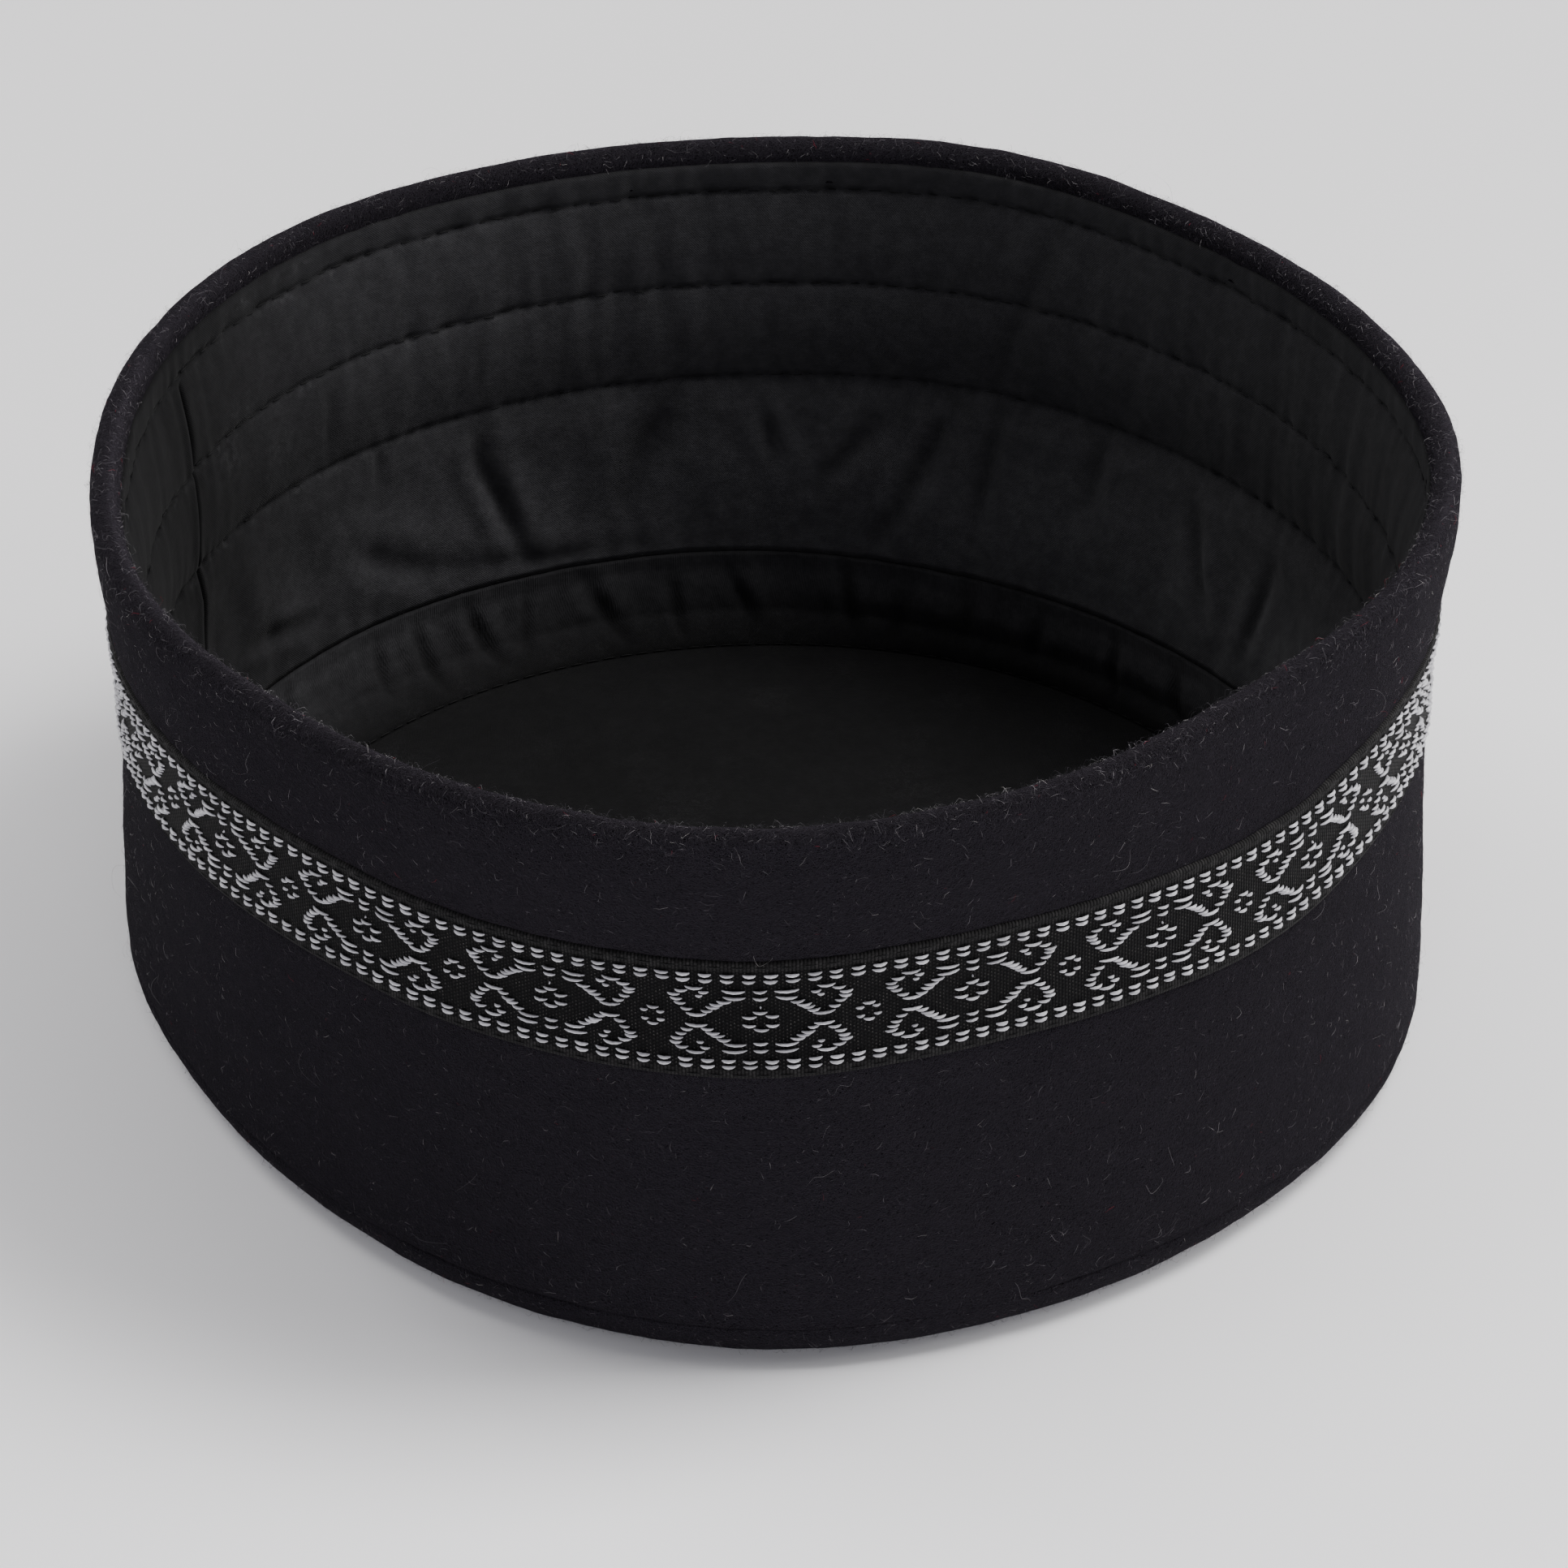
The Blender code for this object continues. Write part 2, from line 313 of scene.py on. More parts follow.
def addNode(kind, settings=None, **inputs):
    node = bench["tree"].nodes.new(kind)
    for key, value in (settings or {}).items():
        setattr(node, key, value)
    for key, value in inputs.items():
        plug(node.inputs[key.replace("_", " ")], value)
    return node


def mathNode(operation, *values, clamp=False):
    node = addNode("ShaderNodeMath", {"operation": operation, "use_clamp": clamp})
    for socket, value in zip(node.inputs, values):
        plug(socket, value)
    return node.outputs[0]


def times(first, second):
    return mathNode("MULTIPLY", first, second)


def plus(first, second, clamp=False):
    return mathNode("ADD", first, second, clamp=clamp)


def mixColours(share, first, second):
    node = addNode("ShaderNodeMix", {"data_type": "RGBA"})
    for place, value in ((0, share), (6, first), (7, second)):
        plug(node.inputs[place], value)
    return node.outputs[2]


def remap(value, low, high, newLow=0, newHigh=1):
    node = addNode("ShaderNodeMapRange", {"interpolation_type": "SMOOTHSTEP"})
    for socket, number in zip(node.inputs, (value, low, high, newLow, newHigh)):
        plug(socket, number)
    return node.outputs[0]


def objectPlace():
    return addNode("ShaderNodeTexCoord").outputs["Object"]


def mapPlace(name):
    return addNode("ShaderNodeUVMap", {"uv_map": name}).outputs["UV"]


def readValue(name):
    return addNode("ShaderNodeAttribute", {"attribute_name": name}).outputs["Fac"]


def stretched(place, scale):
    return addNode("ShaderNodeMapping", Vector=place, Scale=scale).outputs[0]


def cloudAt(place, scale, detail, roughness=0.5, **more):
    return addNode("ShaderNodeTexNoise", Vector=place, Scale=scale, Detail=detail, Roughness=roughness,
                   **more).outputs[0]


def addBump(shader, height, strength, distance):
    bump = addNode("ShaderNodeBump", Strength=strength, Distance=distance, Height=height)
    plug(shader["Normal"], bump.outputs[0])


def startGroup(name, inputs, outputs):
    group = bpy.data.node_groups.new(name, "ShaderNodeTree")
    bench["tree"] = group
    for label, kind, value in inputs:
        socket = group.interface.new_socket(name=label, in_out="INPUT", socket_type=kind)
        if value is not None:
            socket.default_value = value
    for label in outputs:
        group.interface.new_socket(name=label, in_out="OUTPUT", socket_type="NodeSocketFloat")
    return group, group.nodes.new("NodeGroupInput").outputs, group.nodes.new("NodeGroupOutput").inputs


def placeGroup(group, **inputs):
    node = addNode("ShaderNodeGroup", {"node_tree": group}, **inputs)
    return node.outputs


def makeTangle():
    # thin curly lines, like matted fibres: the places where a warped noise passes its middle value
    group, given, result = startGroup(
        "tangledFibres",
        (("Vector", "NodeSocketVector", None), ("Scale", "NodeSocketFloat", 800),
         ("Width", "NodeSocketFloat", 0.03)), ("Fibres", "Height"))
    layers = []
    for place, size in enumerate((1, 1.7)):
        moved = addNode("ShaderNodeVectorMath", {"operation": "ADD"})
        plug(moved.inputs[0], given["Vector"])
        plug(moved.inputs[1], (0.13 * place, 0.07 * place, 0.31 * place))
        cloud = cloudAt(moved.outputs[0], times(given["Scale"], size), 1.5, Distortion=1.6)
        offset = mathNode("ABSOLUTE", mathNode("SUBTRACT", cloud, 0.5))
        layers.append(remap(offset, 0, given["Width"], 1, 0))
    both = mathNode("MAXIMUM", *layers)
    plug(result["Fibres"], both)
    plug(result["Height"], plus(both, times(layers[0], 0.5)))
    return group


def makeWeave():
    # a plain weave over a map in millimetres
    group, given, result = startGroup(
        "plainWeave",
        (("Map", "NodeSocketVector", None), ("Around", "NodeSocketFloat", 0.4),
         ("Upwards", "NodeSocketFloat", 0.4)), ("Threads",))
    parts = addNode("ShaderNodeSeparateXYZ", Vector=given["Map"]).outputs
    waves = []
    for place, pitch in (("X", "Around"), ("Y", "Upwards")):
        turns = mathNode("DIVIDE", parts[place], given[pitch])
        waves.append(mathNode("SINE", times(turns, math.tau)))
    plug(result["Threads"], mathNode("MULTIPLY_ADD", times(*waves), 0.5, 0.5))
    return group


tangle = makeTangle()
weave = makeWeave()


def feltMaterial():
    wool = {
        "dark": (0.0003, 0.00025, 0.0004),
        "light": (0.0020, 0.0018, 0.0023),
        "hair": (0.0105, 0.0090, 0.0114),
        "sheen": (0.84, 0.75, 0.92),
        "cloud": 1500,
        "matting": 800,
        "finest": 1600,
        "patches": 240,
        "lineWidth": 0.075,
        "hairShare": 0.8,
        "relief": 0.00022,
    }
    material, shader = startMaterial("blackFelt", Roughness=0.95, Specular_IOR_Level=0.02,
                                     Sheen_Weight=0.075, Sheen_Roughness=0.4, Sheen_Tint=wool["sheen"])
    place = objectPlace()
    cloud = cloudAt(place, wool["cloud"], 4, 0.75)
    coarse, fine = (placeGroup(tangle, Vector=place, Scale=wool[size], Width=wool["lineWidth"])
                    for size in ("matting", "finest"))
    patches = cloudAt(place, wool["patches"], 3)
    body = mixColours(remap(cloud, 0.46, 0.58), wool["dark"], wool["light"])
    strength = times(remap(patches, 0.32, 0.68, 0.6, 1), wool["hairShare"])
    hairs = mathNode("MAXIMUM", coarse["Fibres"], times(fine["Fibres"], 0.6))
    plug(shader["Base Color"], mixColours(times(hairs, strength), body, wool["hair"]))
    height = plus(times(coarse["Height"], 0.8), fine["Height"])
    addBump(shader, plus(height, times(cloud, 2.4)), 1, wool["relief"])
    return material


def fibreMaterial():
    # each fibre's tone runs from black through grey to white, and the highest few are red
    shades = ((0, (0.003, 0.0025, 0.0035)), (0.6, (0.062, 0.056, 0.068)), (0.9, (0.40, 0.38, 0.40)),
              (0.97, (0.62, 0.60, 0.58)), (0.985, (0.32, 0.02, 0.04)))
    material, shader = startMaterial("woolFibre", Roughness=0.7, Specular_IOR_Level=0.15)
    ramp = addNode("ShaderNodeValToRGB", Fac=readValue("tone"))
    stops = ramp.color_ramp.elements
    stops.remove(stops[1])
    for position, colour in shades:
        stop = stops.new(position) if position else stops[0]
        stop.color = (*colour, 1)
    plug(shader["Base Color"], ramp.outputs["Color"])
    return material


def liningMaterial():
    # painted shade darkens the bottoms of folds, seams and grooves, "lint" marks where fluff has caught, and
    # painted light and shade makes the cotton lighter or darker by place
    cotton = {
        "dark": (0.0084, 0.0083, 0.0090),
        "light": (0.0144, 0.0142, 0.0153),
        # the colour of the painted shade in folds, seams and grooves
        "paintedShadeColour": (0.0008, 0.0008, 0.0009),
        "lint": (0.040, 0.040, 0.042),
        "thread": 0.4,
        "slubs": (0.35, 3, 1),
        "relief": 0.00012,
    }
    material, shader = startMaterial("liningCotton", Roughness=0.92, Specular_IOR_Level=0.12,
                                     Sheen_Weight=0.03, Sheen_Roughness=0.4)
    place, spread = objectPlace(), mapPlace("round")
    hollow, caught, dust = (readValue(name) for name in ("hollow", "lint", "dust"))
    woven = placeGroup(weave, Map=spread, Around=cotton["thread"], Upwards=cotton["thread"])["Threads"]
    slubs = cloudAt(stretched(spread, cotton["slubs"]), 1.2, 3, 0.7)
    cloud = cloudAt(place, 420, 5, 0.75)
    share = times(remap(cloud, 0.34, 0.7), 0.65)
    share = plus(share, times(remap(slubs, 0.4, 0.75), 0.2))
    share = plus(share, times(woven, 0.15), clamp=True)
    # painted light and shade: the cotton's colour is scaled up or down by place
    body = addNode("ShaderNodeVectorMath", {"operation": "SCALE"}, Scale=dust)
    plug(body.inputs[0], mixColours(share, cotton["dark"], cotton["light"]))
    fluff = times(remap(cloudAt(place, 780, 3, 0.6), 0.42, 0.7), caught)
    lines = placeGroup(tangle, Vector=place, Scale=600, Width=0.03)["Fibres"]
    strands = times(lines, remap(cloudAt(place, 75, 2), 0.5, 0.75, 0.02, 0.22))
    linty = mixColours(plus(fluff, strands, clamp=True), body.outputs[0], cotton["lint"])
    # painted shade: near black is mixed in where folds, seams and grooves would lie in shade
    plug(shader["Base Color"], mixColours(hollow, linty, cotton["paintedShadeColour"]))
    height = plus(times(plus(woven, slubs), 0.5), times(cloud, 1.5))
    addBump(shader, height, 0.8, cotton["relief"])
    return material


def groundMaterial():
    # the ribbon's black ground: columns of tiny light ticks, and a ribbed selvedge beyond the dashes
    ground = {
        "dark": (0.0016, 0.0015, 0.0018),
        "rib": (0.026, 0.025, 0.025),
        "tick": (0.085, 0.080, 0.076),
        "column": roundUnits / 1260,
        "pick": 0.56,
        "selvedge": 7.9,
        "relief": 0.00014,
    }
    material, shader = startMaterial("ribbonGround", Roughness=0.7, Specular_IOR_Level=0.1)
    spread = mapPlace("round")
    parts = addNode("ShaderNodeSeparateXYZ", Vector=spread).outputs
    turns = mathNode("DIVIDE", parts["X"], ground["column"])
    ribs = mathNode("ABSOLUTE", mathNode("SINE", times(turns, math.pi)))
    column = mathNode("MODULO", mathNode("FLOOR", turns), 2)
    picks = plus(mathNode("DIVIDE", parts["Y"], ground["pick"]), times(column, 0.5))
    beats = mathNode("SINE", times(picks, math.tau))
    ticks = times(remap(ribs, 0.80, 1), remap(beats, 0.25, 0.9))
    selvedge = ground["selvedge"]
    edge = remap(mathNode("ABSOLUTE", parts["Y"]), selvedge - 0.1, selvedge + 0.1)
    sparse = remap(cloudAt(spread, 0.8, 3), 0.4, 0.72, 0.06, 1)
    body = mixColours(times(times(ticks, sparse), 0.8), ground["dark"], ground["tick"])
    ribbed = times(ribs, mathNode("MULTIPLY_ADD", sparse, 0.6, 0.4))
    outer = mixColours(ribbed, ground["dark"], ground["rib"])
    plug(shader["Base Color"], mixColours(edge, body, outer))
    addBump(shader, plus(ribs, times(beats, 0.35)), 0.9, ground["relief"])
    return material


def floatMaterial():
    # satin yarn: fine filaments along each float, and a tone of its own
    yarn = {"dark": (0.10, 0.098, 0.112), "light": (0.76, 0.75, 0.79), "filaments": (1.2, 9, 1)}
    material, shader = startMaterial("silverYarn", Specular_IOR_Level=1)
    filaments = cloudAt(stretched(mapPlace("yarn"), yarn["filaments"]), 1, 3, 0.6)
    share = times(remap(filaments, 0.3, 0.7, 0.35, 1), readValue("tone"))
    plug(shader["Base Color"], mixColours(share, yarn["dark"], yarn["light"]))
    plug(shader["Roughness"], remap(filaments, 0.3, 0.7, 0.36, 0.24))
    addBump(shader, filaments, 0.6, 0.00006)
    return material


def threadMaterial():
    cotton = {"dark": (0.0030, 0.0030, 0.0032), "light": (0.0080, 0.0080, 0.0086)}
    material, shader = startMaterial("sewingThread", Roughness=0.8, Specular_IOR_Level=0.2)
    cloud = cloudAt(objectPlace(), 1800, 2)
    plug(shader["Base Color"], mixColours(cloud, cotton["dark"], cotton["light"]))
    addBump(shader, cloud, 0.5, 0.00005)
    return material


felt = feltMaterial()
fibre = fibreMaterial()
liningCloth = liningMaterial()
ribbonGround = groundMaterial()
silverYarn = floatMaterial()
thread = threadMaterial()
print("materials are made")


# Felt wall and crown

feltWall = {"steps": 540, "spacing": 1.2, "rollSteps": 8, "seat": 0.7, "ribbonWidth": 18.7, "uneven": 0.16}
ribbonLow = waistHeight - feltWall["ribbonWidth"] / 2
ribbonHigh = waistHeight + feltWall["ribbonWidth"] / 2


def feltUneven(points, amount):
    # how far the felt's lumpy surface stands out, in millimetres
    return amount * (noiseAt(points, 130) + 0.7 * noiseAt(points, 420, 1))


def seamDepth(angles, heights):
    # the crown seam sinks more in some places than in others, and the fuzz all but hides it in some
    near = bell(heights - crownSeam, 1.3)
    turns = np.radians(angles)
    spots = np.stack((np.sin(turns) * 7, np.cos(turns) * 7, 0 * turns), axis=1)
    return 1 - near * np.clip(0.5 + 1.5 * noiseAt(spots, 1, 17), 0.05, 0.9)


def buildFeltWall():
    seam = crownSeam + capForm["gap"] / 2
    rollHeight = rimHeight - capForm["rimRoll"]
    turnedEdge = rimHeight - capForm["turnIn"]
    roll = capForm["rimRoll"]
    seat, dip, ply = feltWall["seat"], capForm["seamDip"], capForm["felt"]
    lower = [(seam, dip + 0.1), (seam + 0.5, dip * 0.7), (seam + 1.5, 0.08), (footHeight, 0),
             (ribbonLow - 2.2, 0), (ribbonLow - 0.5, -0.08), (ribbonLow - 0.02, 0)]
    under = [(ribbonLow + 0.3, seat), (ribbonHigh - 0.3, seat)]
    upper = [(ribbonHigh + 0.02, 0), (ribbonHigh + 0.5, -0.08), (ribbonHigh + 2.2, 0),
             (rollHeight - 0.6, 0)]
    rolled = []
    for step in range(feltWall["rollSteps"] + 1):
        turn = math.pi * step / feltWall["rollSteps"]
        rolled.append((rollHeight + roll * math.sin(turn), roll - roll * math.cos(turn)))
    inside = [(turnedEdge, 2 * roll), (turnedEdge - 0.6, ply), (66, ply), (47, ply), (28, ply),
              (seam, ply + 0.6)]
    spacing = feltWall["spacing"]
    rows = denseRows(lower, spacing) + under + denseRows(upper, spacing) + rolled + inside
    mesh, angles, heights, insets, _ = spinSection("felt_wall", rows, feltWall["steps"])
    heights = heights + ribbonRise(angles) * besideRibbon(heights)
    points = capPoints(angles, heights, insets)
    stand = feltUneven(points, feltWall["uneven"])
    crest = 0.16 * smoothStep((heights - rollHeight) / roll) * noiseAt(points, 210, 2)
    hidden = (insets > ply - 0.1) & (heights < turnedEdge)
    seated = (insets > seat - 0.1) & (heights > ribbonLow - 3) & (heights < ribbonHigh + 3)
    stand = np.where(hidden | seated, 0, stand)
    outer = insets < roll
    insets = np.where(outer, insets * seamDepth(angles, heights), insets)
    points = capPoints(angles, heights + crest, insets - np.where(outer, stand, -stand))
    setVertices(mesh, points)
    addPiece(mesh, felt, "felt", "side_band")


def buildFeltCrown():
    seam = crownSeam - capForm["gap"] / 2
    outerArc, dip, ply = capForm["footRound"], capForm["seamDip"], capForm["felt"]

    def arcRow(height, radius):
        return height, outerArc - math.sqrt(radius ** 2 - (outerArc - height) ** 2)

    rows = [(0, inset) for inset in (100, 80, 55, 35, 20, 12, 8, outerArc)]
    rows += [arcRow(height, outerArc) for height in (0.15, 0.5, 1.1, 1.9, 2.8, 3.8, 4.7)]
    rows += [(seam - 1, 0.06), (seam - 0.4, dip * 0.7), (seam, dip + 0.1), (seam, dip + 1.6)]
    rows += [arcRow(height, outerArc - ply) for height in (4.4, 2.7)] + [(ply, outerArc), (ply, 100)]
    mesh, angles, heights, insets, _ = spinSection("felt_crown", rows, feltWall["steps"], closed=False)
    insets = np.where(insets > 99.9, outerRadius(angles, footHeight), insets)
    points = capPoints(angles, heights, insets)
    stand = feltUneven(points, feltWall["uneven"])
    flat = heights < 0.1
    outer = (insets < outerArc) & ~flat
    besideSeam = outer & (heights > crownSeam - 1.3)
    insets = np.where(besideSeam, insets * seamDepth(angles, heights), insets)
    lift = np.where(flat & (insets > outerArc + 1), np.abs(stand) * 0.6, 0)
    setVertices(mesh, capPoints(angles, heights + lift, insets - np.where(outer, stand, 0)))
    addPiece(mesh, felt, "felt", "crown")


buildFeltWall()
buildFeltCrown()
print("felt wall and crown are made")


# Linings

lining = {
    "steps": 720,
    "spacing": 0.95,
    "thickness": 1,
    "top": 83,
    "rows": (78.3, 63, 47),
    "onFelt": 3.7,
    "puff": 1.25,
    "ring": 13.8,
    "seamAngle": -112.3,
    "crowdReach": 20,
}
perDegree = 1.48         # millimetres along the lining for a degree round the cap
# Creases: half width and depth in millimetres, then points of angle and height
sideCreases = (
    (1.35, 1.25, (-151, 44.5), (-151, 38), (-153.5, 28), (-155.5, 19)),
    (2.3, 1.4, (-171, 44), (-168, 35), (-164.5, 22)),
    (1.1, 0.9, (179.5, 42), (178.5, 33)),
    (1.5, 1.2, (168, 40), (174, 28)),
    (1.4, 1.3, (160, 44.5), (163, 33), (168, 18)),
    (1.2, 1.1, (155, 45), (157, 23)),
    (1.3, 0.9, (143, 46), (144, 33)),
    (2.1, 0.8, (-135.5, 31), (-141.5, 25), (-147, 21.5)),
    (1.4, 0.5, (-147, 21.5), (-158.5, 19), (-168, 18.6)),
    (1.3, 0.8, (-130, 23), (-119, 27)),
    (1.1, 0.5, (-134.5, 61.5), (-133.5, 49.5)),
    (0.9, 0.8, (-140, 46), (-139.5, 40.5)),
    (0.9, 0.4, (-151.5, 60), (-151, 51)),
    (1.2, 0.35, (-163, 81), (-163.5, 60)),
    (1.2, 0.3, (-170, 76), (-171.5, 52)),
    (1.6, 0.6, (150, 76), (156, 48)),
    (1.3, 0.4, (-123, 30), (-124.5, 20)),
    (1.4, 1, (131, 43), (127, 25)),
    (1.2, 0.9, (118, 40), (121, 22)),
)
# the same for the crown lining, by angle and by the way from its seam down and in towards its stitched ring
ringCreases = (
    (0.9, 0.8, (-137, 15), (-137.5, -2)),
    (1, 1, (-142, 15.5), (-143.5, -5)),
    (1.1, 1.1, (-148, 15.5), (-151, -4)),
    (0.9, 0.7, (-155, 14.5), (-154, -3)),
    (1.3, 1.2, (-161.5, 14.5), (-165.5, -6)),
    (0.9, 0.9, (-170.5, 13), (-171.5, -7)),
    (1.1, 0.9, (-176.5, 13.5), (-180, -3)),
)


def looseCreases(seed, count, fromAngle, toAngle, topHeights, footHeights, lean, depths):
    # more creases for the parts that the chart leaves out
    rng = np.random.default_rng(seed)
    creases = []
    for place in range(count):
        angle = fromAngle + (toAngle - fromAngle) * (place + rng.uniform(0.2, 0.8)) / count
        foot = angle + rng.uniform(-lean, lean)
        middle = (angle + foot) / 2 + rng.uniform(-0.2, 0.2) * lean
        top, bottom = rng.uniform(*topHeights), rng.uniform(*footHeights)
        line = (angle, top), (middle, (top + bottom) / 2), (foot, bottom)
        creases.append((rng.uniform(0.9, 1.6), rng.uniform(*depths), *line))
    return tuple(creases)


sideCreases += looseCreases(12, 16, -100, 112, (40, 46), (18, 30), 7, (0.6, 1.3))
ringCreases += looseCreases(14, 34, -131, 178, (13, 16), (-8, 2), 3, (0.6, 1.1))
# fluff on the side lining: angle, height, reach along and up in millimetres, strength
fluffPatches = (
    (-124.5, 80.9, 3.6, 0.9, 0.9), (-132, 81.5, 4.2, 0.8, 0.8), (-119, 60, 3, 3.5, 0.35),
    (-127, 56, 4, 3, 0.30), (-146, 80, 7, 0.9, 0.35), (-139, 45, 4, 0.8, 0.6),
    (-122, 66, 3, 2, 0.35), (-166, 78, 4, 2, 0.2),
)


# painted light and shade, how much the cotton's colour is scaled round the cap: angle, share
paintedLightingRound = ((0, 1.1), (60, 1.1), (112, 1.4), (150, 2.2), (180, 2.7), (215, 2.3), (248, 0.52), (300, 0.9),
             (360, 1.1))


def angleBetween(angles, others):
    return np.mod(angles - others + 180, 360) - 180


def creaseRelief(angles, ways, creases):
    # valleys with soft flanks along the charted lines, and painted shade from 0 to 1 that is strongest at a
    # valley's bottom
    relief = np.zeros(len(angles))
    hollow = np.zeros(len(angles))
    for halfWidth, depth, *line in creases:
        nearest = np.full(len(angles), 1e6)
        share = np.zeros(len(angles))
        for place, (start, end) in enumerate(zip(line, line[1:])):
            along = angleBetween(angles, start[0]) * perDegree
            down = ways - start[1]
            lineAlong = angleBetween(end[0], start[0]) * perDegree
            lineDown = end[1] - start[1]
            t = np.clip((along * lineAlong + down * lineDown) / (lineAlong ** 2 + lineDown ** 2), 0, 1)
            distance = np.hypot(along - t * lineAlong, down - t * lineDown)
            closer = distance < nearest
            nearest = np.where(closer, distance, nearest)
            share = np.where(closer, (place + t) / (len(line) - 1), share)
        fade = np.sin(math.pi * np.clip(share, 0.05, 0.95)) ** 0.6
        valley = bell(nearest, halfWidth) * fade
        flank = bell(nearest - 2.3 * halfWidth, 1.2 * halfWidth) * fade
        relief = relief + depth * (0.35 * flank - valley)
        # painted shade, strongest at a valley's bottom
        hollow = np.maximum(hollow, valley * min(1, depth))
    return relief, hollow


def clothNoise(angles, heights, acrossScale, upScale, seed):
    # wrinkles with their own scale round the cap and up it
    turns = np.radians(angles)
    spots = np.stack((np.sin(turns) * acrossScale, np.cos(turns) * acrossScale, heights * upScale), axis=1)
    return noiseAt(spots, 1, seed)


def crowdColumns(angles):
    # brings the columns closer together at the upright seam, which is only a millimetre wide
    past = angleBetween(angles, lining["seamAngle"])
    share = past / lining["crowdReach"]
    return np.where(np.abs(share) < 1, lining["seamAngle"] + past * (0.35 + 0.65 * share ** 2), angles)


# wrinkles of the quilted part, the loose part and its foot: millimetres, scales round the cap and up it, seed
quiltWrinkles = ((0.34, 18, 0.03, 3), (0.16, 50, 0.05, 12))
slackWrinkles = ((0.85, 9, 0.05, 4), (0.3, 22, 0.12, 5))
footWrinkles = ((0.7, 30, 0.05, 6),)


def wrinkled(angles, heights, wrinkles):
    return sum(amount * clothNoise(angles, heights, *scales) for amount, *scales in wrinkles)


def sideShape(angles, heights):
    # how far the side lining's face stands inwards of its plain form, the painted shade in its creases, seams
    # and grooves, and its fluff
    relief, hollow = creaseRelief(angles, heights, sideCreases)
    relief, hollow = relief * 0.8, hollow * 0.34
    lint = np.zeros(len(angles))
    leftward = 0.12 + 0.88 * smoothStep(1 - np.abs(angleBetween(angles, -136)) / 42)
    patchy = np.clip(0.6 + 1.4 * clothNoise(angles, heights, 30, 0.2, 11), 0, 1.3)
    for row in lining["rows"]:
        groove = bell(heights - row, 0.6)
        near = np.exp(-np.abs(heights - row) / 2.6)
        pull = np.clip(0.5 + 1.3 * clothNoise(angles, 0 * heights, 55, 0, row + 1), 0.3, 0.85)
        relief = relief - 0.6 * groove * pull + 0.42 * near * clothNoise(angles, heights, 46, 0.10, row)
        # painted shade in the stitched groove
        hollow = np.maximum(hollow, groove * 0.5 * pull)
        lint = lint + 0.6 * bell(heights - row + 0.6, 0.9) * leftward * patchy
    for angle, height, alongReach, upReach, strength in fluffPatches:
        along = angleBetween(angles, angle) * perDegree
        lint = lint + strength * bell(along, alongReach) * bell(heights - height, upReach)
    lowest, foot = lining["rows"][-1], liningSeam
    relief = relief + smoothStep((heights - lowest) / 4) * wrinkled(angles, heights, quiltWrinkles)
    drop = np.clip((lowest - heights) / (lowest - foot), 0, 1)
    relief = relief + np.sin(math.pi * drop) * wrinkled(angles, heights, slackWrinkles)
    rise = heights - foot
    puckers = np.exp(-rise / 4) * (1 - np.exp(-rise))
    relief = relief + puckers * wrinkled(angles, heights, footWrinkles)
    # painted shade along the seam at the lining's foot
    hollow = np.maximum(hollow, 0.35 * bell(rise, 0.5))
    # the upright seam: a narrow slot with a soft ridge beside it
    seamLine = lining["seamAngle"] - 0.035 * (heights - 60) + 0.22 * np.sin(heights / 3.7)
    past = angleBetween(angles, seamLine) * perDegree
    reach = smoothStep((77.6 - heights) / 2) * smoothStep((heights - 19) / 3)
    reach = reach * (0.65 + 0.35 * np.abs(np.sin((heights - 62) / 9)))
    slot = bell(past, 0.42)
    relief = relief + reach * (0.3 * bell(past - 1.6, 1.1) - 1.2 * slot)
    # painted shade in the upright seam's slot
    hollow = np.maximum(hollow, slot * reach * 0.95)
    # painted shade under the lining's top edge
    hollow = np.maximum(hollow, 0.7 * bell(heights - lining["top"], 0.4))
    return relief, hollow, np.clip(lint, 0, 1)


def paintedLightingAt(angles, heights):
    # painted light and shade: the cotton is made lighter at the back and low down, most of all low on the
    # right, and darker on the left
    turns, shares = zip(*paintedLightingRound)
    low = smoothStep((50 - heights) / 25)
    right = smoothStep(1 - np.abs(angleBetween(angles, 120)) / 70)
    return np.interp(np.mod(angles, 360), turns, shares) * (1 + low * (0.75 + 0.5 * right))


